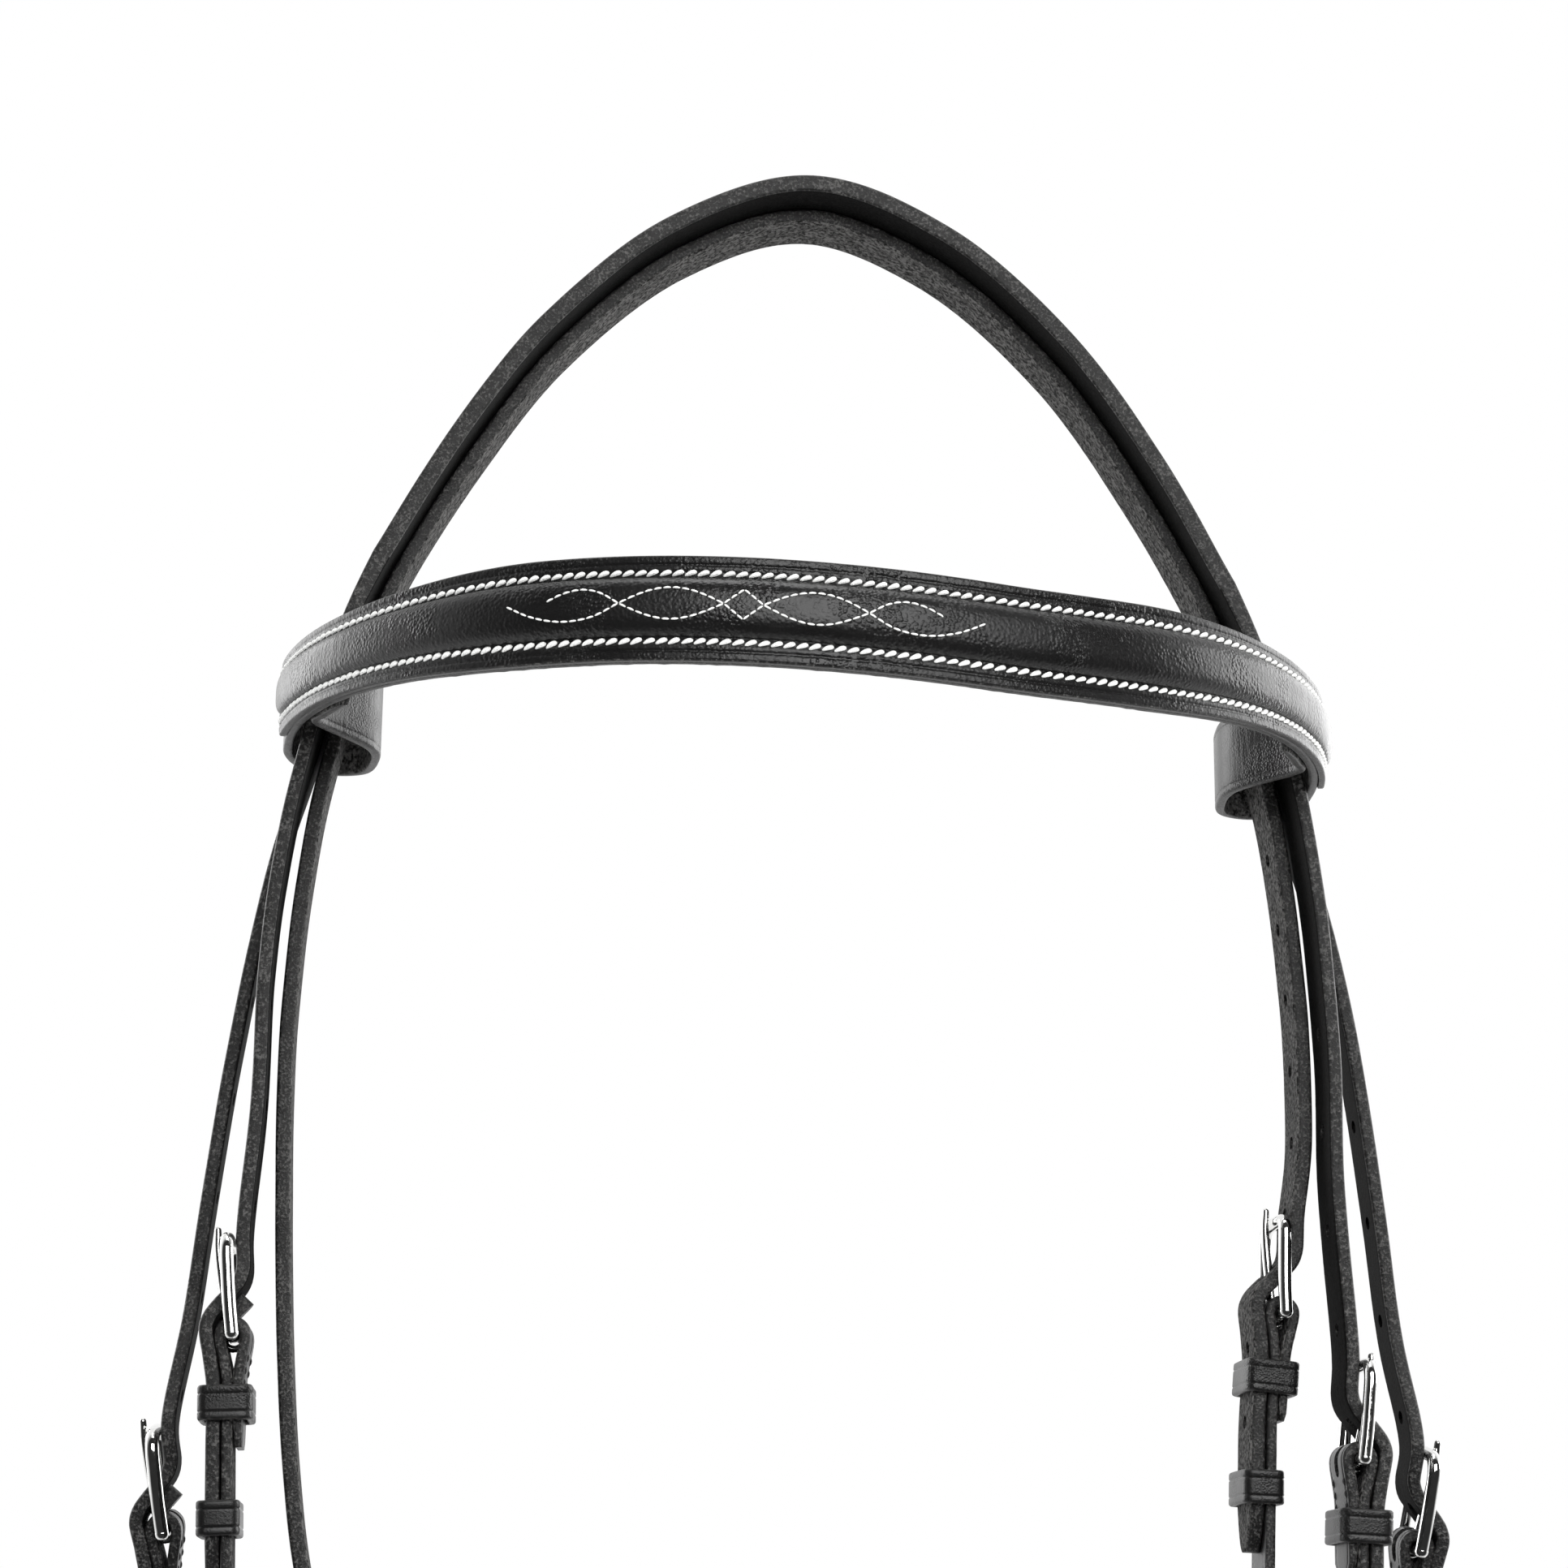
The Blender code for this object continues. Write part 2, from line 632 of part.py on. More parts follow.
    def make_keeper(self, kind, place, low, high, width):
        """A leather loop round the layers from low to high out of the strap at a place on it."""
        name = f"{self.name}_{kind}_keeper"
        inside = Vector((width / 2 + FIT, (high - low) / 2 + FIT, 0))
        middle = (high + low) / 2
        bm = bmesh.new()
        bmesh.ops.create_grid(bm, x_segments=1, y_segments=1, size=1)
        size = Matrix.Diagonal((inside.x + KEEPER_WALL, inside.y + KEEPER_WALL, 1, 1))
        bmesh.ops.transform(bm, matrix=size, verts=bm.verts)
        bmesh.ops.bevel(
            bm,
            geom=bm.verts[:],
            offset=KEEPER_CORNER,
            segments=2,
            profile=0.5,
            affect="VERTICES",
            material=-1,
        )
        face = max(bm.faces, key=lambda f: f.calc_area())
        bmesh.ops.inset_region(
            bm, faces=[face], thickness=KEEPER_WALL, use_even_offset=True, use_boundary=True
        )
        bmesh.ops.delete(bm, geom=[face], context="FACES")
        drawn = bmesh.ops.extrude_face_region(bm, geom=bm.faces[:])["geom"]
        moved = [item for item in drawn if isinstance(item, bmesh.types.BMVert)]
        bmesh.ops.translate(bm, vec=(0, 0, KEEPER_HEIGHT), verts=moved)
        seat = Matrix.Translation((0, middle, -KEEPER_HEIGHT / 2))
        bmesh.ops.transform(bm, matrix=seat, verts=bm.verts)
        obj = finish(bm, name, leather(name))
        obj.matrix_world = place
        return obj

    def dress(self):
        """The frame, the tongue and both keepers."""
        half = LAYER_THICK / 2
        billet_face = self.billet_low - self.layer + self.billet_thick / 2
        self.make_frame()
        self.make_tongue()
        fixed, running = self.lay(FIXED_KEEPER_DROP), self.lay(RUNNING_KEEPER_DROP)
        self.make_keeper("fixed", fixed, -self.layer * 2 - half, billet_face, self.width)
        self.make_keeper("running", running, -half, billet_face, self.width)


def round_outline(radius):
    return [
        (radius * math.cos(i * math.tau / ROUND_SIDES), radius * math.sin(i * math.tau / ROUND_SIDES))
        for i in range(ROUND_SIDES)
    ]


# Where each buckle sits
CROWN_END_WIDTH = CHEEK_WIDTH + SLIT + THROAT_WIDTH
CHEEK_FORWARD = CROWN_SET_FORWARD + (CROWN_END_WIDTH - CHEEK_WIDTH) / 2
THROAT_FORWARD = CROWN_SET_FORWARD - (CROWN_END_WIDTH - THROAT_WIDTH) / 2
CHEEK_BAR_HALF_WIDTH = 0.1400
THROAT_BAR_HALF_WIDTH = 0.1555
THROAT_WIDER = {"off": 0.0, "near": 0.0027}
THROAT_SPREAD_SHARE = 0.35
NOSE_BAR_HALF_WIDTH = 0.1235
JAW_BUCKLE_TURN = math.radians(-62)
JAW_CHAPE_TURN = math.radians(15)


def on_ring(half_width, front, back, turn):
    """A point of the plan's ring: the turn is 0 at the near side and grows towards the front."""
    depth = front if math.sin(turn) > 0 else back
    return Vector((half_width * math.cos(turn), -depth * math.sin(turn), 0))


def nose_point(turn, inside=0.0):
    """A point of the noseband's ring, moved in from its middle line."""
    flat = on_ring(NOSE_HALF_WIDTH - inside, NOSE_FRONT_DEPTH - inside, JAW_BACK_DEPTH - inside, turn)
    return flat + Vector((0, 0, STACK - NOSE_DROP))


def throat_spot(side, a, b, c):
    """A point of the throatlatch from its shares of half width, depth and drop."""
    back = -THROAT_FORWARD + (THROAT_BACK_DEPTH + THROAT_FORWARD) * b
    half_width = (THROAT_BAR_HALF_WIDTH + THROAT_WIDER[side]) * a
    return side_point(side, half_width, THROAT_LOW_DROP * c, -back)


def make_buckles():
    made = {}
    for side, sign in SIDES.items():
        bar = side_point(side, CHEEK_BAR_HALF_WIDTH, CHEEK_BAR_DROP[side], CHEEK_FORWARD)
        along = bar - side_point(side, BIT_FOLD_HALF_WIDTH, BIT_FOLD_DROP, CHEEK_FORWARD)
        made["cheek", side] = Buckle(f"{side}_cheek_buckle", bar, along, (sign, 0, 0), CHEEK_WIDTH)
        half_width = THROAT_BAR_HALF_WIDTH + THROAT_WIDER[side]
        bar = side_point(side, half_width, THROAT_BAR_DROP, THROAT_FORWARD)
        along = bar - throat_spot(side, *THROATLATCH_SHARES[0])
        made["throat", side] = Buckle(f"{side}_throat_buckle", bar, along, (sign, 0, 0), THROAT_WIDTH)
    bar = side_point("near", NOSE_BAR_HALF_WIDTH, NOSE_BAR_DROP)
    along = bar - side_point("near", NOSE_HALF_WIDTH, NOSE_DROP)
    made["nose", "near"] = Buckle(
        "noseband_buckle", bar, along, (-1, 0, 0), HEADSTRAP_WIDTH, HEADSTRAP_THICK
    )
    backwards = nose_point(JAW_BUCKLE_TURN) - nose_point(JAW_BUCKLE_TURN + JAW_CHAPE_TURN)
    outward = nose_point(JAW_BUCKLE_TURN) - nose_point(JAW_BUCKLE_TURN, NOSE_WIDTH)
    made["jaw", "near"] = Buckle(
        "jaw_buckle", nose_point(JAW_BUCKLE_TURN), backwards, outward, NOSE_STRAP_WIDTH, LAYER_THICK
    )
    return made


# Straps of the headpiece
def crown_sections():
    """The section's three faces at the split: cheek half, slit and throat half."""
    half, rise = CROWN_END_WIDTH / 2, CROWN_THICK / 2
    bite = CROWN_THICK * EDGE_ROUND_SHARE
    cheek_edge, throat_edge = CHEEK_WIDTH - half, half - THROAT_WIDTH
    cheek = [
        (cheek_edge, rise),
        (bite - half, rise),
        (-half, rise - bite),
        (-half, bite - rise),
        (bite - half, -rise),
        (cheek_edge, -rise),
    ]
    throat = [
        (throat_edge, -rise),
        (half - bite, -rise),
        (half, bite - rise),
        (half, rise - bite),
        (half - bite, rise),
        (throat_edge, rise),
    ]
    return cheek, throat


def tail_points(start, side, kind, buckle):
    """A billet's middle: from the split, inside the browband, to its buckle and its tip."""
    shares = CHEEK_SHARES if kind == "cheek" else THROAT_SHARES
    forward = CHEEK_FORWARD if kind == "cheek" else THROAT_FORWARD
    bar_drop = CHEEK_BAR_DROP[side] if kind == "cheek" else THROAT_BAR_DROP
    wider = 0 if kind == "cheek" else THROAT_WIDER[side]
    points = [start]
    for half_share, drop_share in shares:
        half_width = HEAD_HALF_WIDTH * half_share - BILLET_THICK / 2
        half_width += wider * min(1, max(0, drop_share - 1) / THROAT_SPREAD_SHARE)
        points.append(side_point(side, half_width, drop_at(drop_share, bar_drop), forward))
    return points + buckle.billet()


def punch_billet(obj, path, buckle, pitch, above, below):
    """The stretched working hole, and the free holes on both sides of it."""
    middle = buckle.working_hole(obj, path)
    steps = [step for step in range(-above, below + 1) if step]
    punch_set(obj, path, [middle + pitch * step for step in steps], BILLET_THICK, buckle.name)


def make_crownpiece(made):
    """The arch, then each end drawn on as two billets either side of the slit."""
    arch = Path(arch_points(CROWN_THICK / 2), (0, 1, 0))
    middle = arch.length / 2

    def widen(distance, across, out):
        share = abs(distance - middle) / middle
        return across * (1 + (CROWN_WIDTH / CROWN_END_WIDTH - 1) * (1 - share**2)), out

    bm = bmesh.new()
    cheek, throat = crown_sections()
    faces = [start_face(bm, corners, arch.frame(0.0)) for corners in (cheek, throat)]
    sides = [(face.verts[0], face.verts[-1]) for face in faces]
    faces.append(bm.faces.new([*sides[0], *sides[1]]))
    first = list(faces)
    last = extend(bm, faces, arch, arch.stations()[1:], widen)
    place = bm.verts.layers.float_vector["section"]
    paths = {}
    for side, ends in (("off", first), ("near", last)):
        sign = SIDES[side]
        end_frame = arch.frame(0.0 if side == "off" else arch.length)
        halves = sorted(ends, key=lambda f: f.calc_center_median().y)
        for kind, face in (("cheek", halves[0]), ("throat", halves[2])):
            low = min(v[place].x for v in face.verts)
            high = max(v[place].x for v in face.verts)
            start = end_frame @ Vector(((low + high) / 2, 0, 0))
            path = Path(tail_points(start, side, kind, made[kind, side]), (0, sign, 0))
            paths[kind, side] = path
            for corner in face.verts:
                across, out, _ = corner[place]
                corner[place] = Vector((sign * (across - (low + high) / 2), out, 0))
            narrow = pointed(path)

            def thin(distance, across, out, narrow=narrow):
                share = min(1.0, distance / CROWN_TAPER)
                across, out = narrow(distance, across, out)
                return across, out * (1 + (BILLET_THICK / CROWN_THICK - 1) * share)

            extend(bm, [face], path, path.stations(tip_stations(path))[1:], thin)
    obj = finish(bm, "crownpiece", leather("crownpiece"))
    for (kind, side), path in paths.items():
        above = 5 if kind == "throat" else 3 + (side == "near")
        punch_billet(obj, path, made[kind, side], HOLE_PITCH, above, 2)
    return obj


def headstrap_outer(side):
    return [
        side_point(side, HEAD_HALF_WIDTH * a, drop_at(b, NOSE_BAR_DROP)) for a, b in HEADSTRAP_SHARES
    ]


def hang_points(side, top, thick):
    """Down from a strap's last point to the inner face of the noseband."""
    inside = LAYER_THICK / 2 + FIT + HANG_CLEAR + thick / 2
    low = nose_point(0.0 if side == "near" else math.pi, inside)
    half_width = abs(low.x) + (abs(top.x) - abs(low.x)) * HANG_SHARE
    return [
        side_point(side, half_width, (NOSE_DROP + STACK - top.z) / 2),
        low + Vector((0, 0, NOSE_WIDTH)),
        low,
        low - Vector((0, 0, NOSE_WIDTH / 2 - FIT)),
    ]


def make_headstrap(made):
    """One strap from the off side of the noseband, over the poll, to the near side's buckle."""
    depth = CROWN_THICK + FIT + HEADSTRAP_THICK / 2
    off = [p + Vector((HEADSTRAP_THICK / 2, 0, 0)) for p in headstrap_outer("off")]
    near = [p - Vector((HEADSTRAP_THICK / 2, 0, 0)) for p in headstrap_outer("near")]
    low = list(reversed(hang_points("off", off[-1], HEADSTRAP_THICK)))
    knots = low + list(reversed(off)) + arch_points(depth) + near + made["nose", "near"].billet()
    path = Path(knots, (0, 1, 0))
    top = path.nearest((0, 0, STACK - depth))
    seat = [top - SEAT_LENGTH / 2, top + SEAT_LENGTH / 2]
    width, tips = HEADSTRAP_WIDTH, tip_stations(path)
    obj = strap("noseband_headstrap", path, width, HEADSTRAP_THICK, pointed(path), tips, seat)
    punch_billet(obj, path, made["nose", "near"], NOSE_HOLE_PITCH, 6, 2)
    return path.frame(seat[0]) @ Vector((0, -HEADSTRAP_THICK / 2, 0))


def brow_point(turn, inside=0.0):
    """A point of the browband's middle line, moved in square to it, which sways to the off side."""
    outside = HEAD_HALF_WIDTH + BROW_BACKING / 2 + BROW_LOOP_CLEAR
    flat = on_ring(outside, FOREHEAD_DEPTH, FOREHEAD_DEPTH, turn)
    sway = -FOREHEAD_SWAY * max(0.0, math.sin(turn)) ** 4
    if inside:
        step = math.radians(1)
        along = brow_point(turn + step) - brow_point(turn - step)
        flat += Vector((along.y, -along.x, 0)).normalized() * inside
    return tilted(flat.x + sway, flat.y)


def tilted(x, y):
    """A place in the browband's plane, which hangs lower on the near side."""
    return Vector((x + BROW_SHIFT, y, STACK - BROW_MIDDLE_DROP - x * math.tan(BROW_TILT)))


def brow_loop(side):
    """The folded end: from its stitched tab, round the straps, to the outer side."""
    sign = SIDES[side]
    inside = BROW_BACKING + STITCHED_GAP * BROW_TAB_GAP_SHARE
    step = (BROW_TAB_END - BROW_TAB_START) / (BROW_TAB_KNOTS - 1)
    turns = [BROW_TAB_START + step * i for i in range(BROW_TAB_KNOTS)]
    tab = [brow_point(turn if side == "near" else math.pi - turn, inside) for turn in turns]
    inner = HEAD_HALF_WIDTH + BROW_BACKING / 2 + BROW_LOOP_CLEAR - BROW_LOOP_SPACE
    spots = [(inner + BROW_LOOP_SPACE * a, BROW_LOOP_BACK * b) for a, b in BROW_LOOP_SHARES]
    return tab + [tilted(sign * x, y) for x, y in spots]


def make_browband():
    """The backing with its folded loops, and the padded front along its face."""
    turns = [math.pi * (i + 0.5) / BROW_KNOTS for i in range(BROW_KNOTS)]
    knots = brow_loop("near") + [brow_point(turn) for turn in turns]
    knots += list(reversed(brow_loop("off")))
    path = Path(knots, (0, 0, 1))
    start, end = (path.nearest(brow_point(turn)) for turn in (RAISED_START, math.pi - RAISED_START))
    ends = ramp_stations(start, end)
    strap("browband_backing", path, BROW_WIDTH, BROW_BACKING, also=ends)
    raised_front("browband_raised_front", path, ends, BROW_WIDTH, BROW_BACKING)


def ramp_stations(start, end):
    """Where a padded front starts, rises, falls and ends."""
    rise = [share * RAISED_WIDTH for share in RAMP_SHARES]
    return [start + step for step in rise] + [end - step for step in reversed(rise)]


def raised_outline(width):
    """The section of a padded front: thin edges, a crowned middle, the back flat."""
    half, rise, pad = width / 2, BROW_COVER / 2, RAISED_WIDTH / 2
    bite = BROW_COVER * EDGE_ROUND_SHARE
    right = [(half, -rise), (half, rise - bite), (half - bite, rise)]
    right += [(pad * a, rise + RAISED_HEIGHT * b) for a, b in RAISED_SHARES]
    return right + [(-across, out) for across, out in reversed(right[:-1])]


def raised_front(name, path, ends, width, backing):
    """Padded leather along the front of a strap, drawn on the strap's own stations."""
    rise = BROW_COVER / 2
    seat = backing / 2 + FIT + rise
    start, end = ends[0], ends[-1]

    def fade(distance, across, out):
        share = min(1.0, min(distance - start, end - distance) / RAISED_WIDTH)
        full = RAISED_END_SHARE + (1 - RAISED_END_SHARE) * math.sqrt(max(0, share))
        return across, -(seat + min(out, rise) + max(0, out - rise) * full)

    bm = bmesh.new()
    face = start_face(bm, raised_outline(width), path.frame(start))
    place = bm.verts.layers.float_vector["section"]
    for corner in face.verts:
        across, out, _ = corner[place]
        corner.co = path.frame(start) @ Vector((*fade(start, across, out), 0))
    stations = [d for d in path.stations(ends) if start < d <= end]
    extend(bm, [face], path, stations, fade)
    return finish(bm, name, leather(name))


# Cheekpieces
def make_cheekpiece(side, buckle):
    """From the chape at the buckle down to the fold that holds the bit ring."""
    sign = SIDES[side]
    name = f"{side}_cheekpiece"
    low = side_point(side, BIT_FOLD_HALF_WIDTH, BIT_FOLD_DROP, CHEEK_FORWARD)
    top = buckle.at(buckle.layer, -CHAPE_RETURN)
    seat = BIT_SEAT_RADIUS + LAYER_THICK / 2
    layer = buckle.layer
    end = Buckle(f"{side}_bit_end", low, top - low, (sign, 0, 0), CHEEK_WIDTH)
    spot = end.at
    knots = buckle.chape()
    knots += [top.lerp(spot(layer, BIT_RETURN), share) for share in CHEEK_KNOT_SHARES]
    settled = BIT_KEEPER_RISE - KEEPER_HEIGHT / 2
    rises = [settled + (BIT_RETURN - settled) * share for share in LAYER_SHARES]
    knots += [spot(layer, rise) for rise in reversed(rises)]
    for step in range(8):
        turn = math.radians(35 - step * 250 / 7)
        knots.append(spot(seat * math.cos(turn), seat * math.sin(turn)))
    knots += [spot(-layer, rise) for rise in rises]
    path = Path(knots, (0, sign, 0))
    buckle.carry(path)
    obj = strap(name, path, CHEEK_WIDTH, LAYER_THICK)
    buckle.slot(obj)
    place = end.frame @ Matrix.Translation((0, 0, STUD_RISE))
    reach = (layer + LAYER_THICK) * 2 + CUT_OVERRUN
    cut(obj, round_cutter(name + "_stud_hole", place, STUD_NECK_RADIUS + FIT, reach), solver="MANIFOLD")
    make_stud(side, place)
    face = layer + LAYER_THICK / 2
    low_place = end.frame @ Matrix.Translation((0, 0, BIT_KEEPER_RISE))
    keeper = end.make_keeper("bit", low_place, -face, face, CHEEK_WIDTH)
    keeper.name = f"{side}_bit_end_keeper"


def make_stud(side, place):
    """A hook stud turned in one piece: flat head outside, neck, domed button inside."""
    name = f"{side}_hook_stud"
    face = (LAYER_THICK + STITCHED_GAP) / 2 + LAYER_THICK / 2 + FIT
    head, neck, button = STUD_BUTTON_RADIUS * STUD_HEAD_SHARE, STUD_NECK_RADIUS, STUD_BUTTON_RADIUS
    profile = [(head * a, face + neck * b) for a, b in STUD_HEAD_SHARES]
    profile += [(neck, face), (neck, -face)]
    profile += [(button * a, -face - button * b) for a, b in STUD_BUTTON_SHARES]
    bm = bmesh.new()
    corners = [bm.verts.new((0, out, r)) for r, out in profile]
    edges = [bm.edges.new(pair) for pair in zip(corners, corners[1:])]
    whole = {"angle": math.tau, "steps": ROUND_SIDES + 4, "use_merge": True}
    bmesh.ops.spin(bm, geom=corners + edges, axis=(0, 1, 0), cent=(0, 0, 0), **whole)
    bmesh.ops.remove_doubles(bm, verts=bm.verts, dist=STUD_NECK_RADIUS / 50)
    obj = finish(bm, name, steel(name))
    obj.matrix_world = place
    return obj


# Noseband and throatlatch
def make_noseband(made):
    """The near-side hanger, the ring strap with its jaw billet, and the padded front."""
    nose = made["nose", "near"]
    top = nose.at(nose.layer, -CHAPE_RETURN)
    hanger = Path(nose.chape() + hang_points("near", top, LAYER_THICK), (0, 1, 0))
    nose.carry(hanger)
    obj = strap("noseband_hanger", hanger, HEADSTRAP_WIDTH, LAYER_THICK)
    nose.slot(obj)
    jaw = made["jaw", "near"]
    knots = jaw.chape()
    first = JAW_BUCKLE_TURN + JAW_CHAPE_TURN * JAW_CHAPE_SHARE
    last = math.tau + JAW_BUCKLE_TURN - BUCKLE_REACH * JAW_BILLET_SHARE / NOSE_HALF_WIDTH
    spots = [first + (last - first) * i / NOSE_KNOTS for i in range(NOSE_KNOTS + 1)]
    knots += [nose_point(turn) for turn in spots]
    jaw.carry(Path(knots, (0, 0, 1)))
    path = Path(knots + jaw.billet(), (0, 0, 1))
    start = jaw.bar_place + BILLET_TAIL + NOSE_WIDTH / 8
    end = path.nearest(nose_point(NOSE_WIDE_END))
    turns = (NOSE_FRONT_START, math.pi - NOSE_FRONT_START)
    ends = ramp_stations(*(path.nearest(nose_point(turn)) for turn in turns))
    narrow = pointed(path)

    def ring(distance, across, out):
        share = min(max(0.0, distance - start), max(0.0, end - distance)) / NOSE_STRAP_WIDTH
        share = min(1.0, share)
        wider = 1 + (NOSE_WIDTH / NOSE_STRAP_WIDTH - 1) * share
        across, out = narrow(distance, across, out)
        return across * wider, out

    also = ends + tip_stations(path)
    obj = strap("noseband_strap", path, NOSE_STRAP_WIDTH, LAYER_THICK, ring, also)
    jaw.slot(obj)
    jaw_middle = jaw.working_hole(obj, path)
    holes = [jaw_middle - NOSE_HOLE_PITCH * step for step in (-2, -1, 1, 2, 3)]
    punch_set(obj, path, holes, LAYER_THICK, jaw.name, FIT)
    raised_front("noseband_raised_front", path, ends, NOSE_WIDTH, LAYER_THICK)


def make_throatlatch(made):
    """A strap under the throat with a chape at each end."""
    near, off = made["throat", "near"], made["throat", "off"]
    knots = near.chape() + [throat_spot("near", *shares) for shares in THROATLATCH_SHARES]
    knots += [throat_spot("off", *shares) for shares in reversed(THROATLATCH_SHARES[:-1])]
    near_across, off_across = -near.frame.col[0].xyz, off.frame.col[0].xyz

    def across(share):
        at_end = near_across if share < 0.5 else off_across
        return at_end.lerp(Vector((0, 1, 0)), min(1.0, min(share, 1 - share) / THROAT_TURN_SHARE))

    path = Path(knots + list(reversed(off.chape())), across)
    near.carry(path)
    off.carry(path)
    obj = strap("throatlatch", path, THROAT_WIDTH, LAYER_THICK)
    near.slot(obj)
    off.slot(obj)


def settle(seat):
    """Bring the poll seat to the origin, a little behind its middle."""
    move = Matrix.Translation((0, -SEAT_SET_BACK, -seat.z))
    for obj in bpy.data.objects:
        obj.matrix_world = move @ obj.matrix_world


def main():
    clear_scene()
    made = make_buckles()
    for side in SIDES:
        make_cheekpiece(side, made["cheek", side])
    make_noseband(made)
    make_throatlatch(made)
    make_crownpiece(made)
    seat = make_headstrap(made)
    make_browband()
    for buckle in made.values():
        buckle.dress()
    settle(seat)


main()
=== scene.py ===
"""Looks of the hunter bridle: fine leather straps, padded fronts, thread and steel on the frame."""

import math
from bisect import bisect_right

import bmesh
import bpy
from mathutils import Matrix, Vector, noise


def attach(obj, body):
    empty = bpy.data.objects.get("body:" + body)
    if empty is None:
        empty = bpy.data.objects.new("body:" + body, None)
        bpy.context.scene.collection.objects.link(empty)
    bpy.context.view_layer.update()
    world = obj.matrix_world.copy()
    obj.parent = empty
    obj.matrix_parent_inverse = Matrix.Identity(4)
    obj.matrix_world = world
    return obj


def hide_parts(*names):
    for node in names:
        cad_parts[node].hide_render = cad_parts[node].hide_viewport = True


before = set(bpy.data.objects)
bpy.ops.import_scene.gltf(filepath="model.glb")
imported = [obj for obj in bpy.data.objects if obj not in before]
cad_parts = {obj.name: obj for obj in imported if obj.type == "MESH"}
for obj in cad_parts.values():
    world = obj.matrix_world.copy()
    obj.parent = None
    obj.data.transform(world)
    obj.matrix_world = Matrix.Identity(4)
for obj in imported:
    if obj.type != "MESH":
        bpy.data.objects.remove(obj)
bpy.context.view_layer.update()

# Sizes of the bridle, as in the part: fits
FIT = 0.0003
STITCHED_GAP = 0.0004
CURVE_STEP = 0.0006

# The head that the bridle fits
HEAD_HALF_WIDTH = 0.131
BROW_DROP = 0.166
FOREHEAD_DEPTH = 0.118
FOREHEAD_SWAY = 0.010

# Straps
CROWN_WIDTH = 0.032
CROWN_THICK = 0.0048
CROWN_SET_FORWARD = 0.003
SLIT = 0.0008
CROWN_TAPER = 0.030
CHEEK_WIDTH = 0.0159
THROAT_WIDTH = 0.0127
BILLET_THICK = 0.0036
HEADSTRAP_WIDTH = 0.0159
HEADSTRAP_THICK = 0.0038
SEAT_LENGTH = 0.008
SEAT_SET_BACK = 0.002
LAYER_THICK = 0.0024
HOLE_RADIUS = 0.0017
WORKING_HOLE_LENGTH = 0.0085
WORKING_HOLE_WIDTH = 0.0036
TIP_SHARE = 0.35
TIP_LENGTH = 0.012

# Buckles
BAR_RADIUS = 0.0016
RAIL_RADIUS = 0.0017
BUCKLE_REACH = 0.0235
BUCKLE_SIDE_GAP = 0.0016
RAIL_OUT = 0.0012
TONGUE_RADIUS = 0.0012
TONGUE_EYE_WALL = 0.0018
TONGUE_SLOT_SIDE_GAP = 0.0006
TONGUE_OVERHANG = 0.0022
TONGUE_REST_GAP = 0.00045
RAIL_CORNER_SHARE = 2.4
RAIL_BOW_SHARES = ((0.0, 0.0), (0.3, 0.5), (0.7, 0.9))

# Keepers, chapes and billets
KEEPER_WALL = 0.0018
KEEPER_HEIGHT = 0.0085
KEEPER_CORNER = 0.0016
KEEPER_CORNER_SHARE = 0.9
FIXED_KEEPER_DROP = 0.0165
RUNNING_KEEPER_DROP = 0.044
CHAPE_RETURN = 0.027
BILLET_TAIL = 0.060
BILLET_SETTLE_DROP = 0.0088
BILLET_CROSSING_HIGH = 0.0160
BILLET_CROSSING_LOW = 0.0020
BILLET_CROSSING_KNOTS = 5
CHAPE_NECK_SHARE = 3.4
WORKING_HOLE_RISE = 0.0090

# Where each buckle bar hangs below the crown's top, and the pitch and number of the holes
CHEEK_BAR_DROP = {"off": 0.3145, "near": 0.3400}
THROAT_BAR_DROP = 0.3600
NOSE_BAR_DROP = 0.3030
HOLE_PITCH = 0.0254
NOSE_HOLE_PITCH = 0.0190
CHEEK_HOLES_ABOVE = {"off": 3, "near": 4}
THROAT_HOLES_ABOVE = 5
NOSE_HOLES_ABOVE = 6
HOLES_BELOW = 2

# Bit ends, noseband and throatlatch
CHEEKPIECE_LENGTH = 0.160
BIT_FOLD_HALF_WIDTH = 0.131
BIT_SEAT_RADIUS = 0.005
BIT_RETURN = 0.046
# Degrees of the turn round the bit ring's place
BIT_TURN_FROM, BIT_TURN, BIT_TURN_STEPS = 35, 250, 7
STUD_NECK_RADIUS = 0.0016
STUD_BUTTON_RADIUS = 0.0036
STUD_RISE = 0.030
STUD_HEAD_SHARE = 0.9
STUD_HEAD_SHARES = ((0.0, 0.7), (0.5, 0.67), (0.8, 0.56), (0.95, 0.36), (1.0, 0.12), (1.0, 0.0))
STUD_BUTTON_SHARES = (
    (0.92, 0.0),
    (0.99, 0.12),
    (1.0, 0.3),
    (0.93, 0.5),
    (0.75, 0.68),
    (0.4, 0.82),
    (0.0, 0.86),
)
BIT_KEEPER_RISE = 0.016
NOSE_DROP = 0.452
NOSE_WIDTH = 0.0254
NOSE_STRAP_WIDTH = 0.0191
NOSE_FRONT_DEPTH = 0.104
NOSE_HALF_WIDTH = 0.112
JAW_BACK_DEPTH = 0.078
HANG_CLEAR = 0.0008
NOSE_FRONT_START = math.radians(13)
NOSE_KNOTS = 16
JAW_CHAPE_SHARE = 1.7
JAW_BILLET_SHARE = 1.9
NOSE_WIDE_END = math.radians(191.5)
HANG_SHARE = 0.7
THROAT_LOW_DROP = 0.486
THROAT_BACK_DEPTH = 0.105

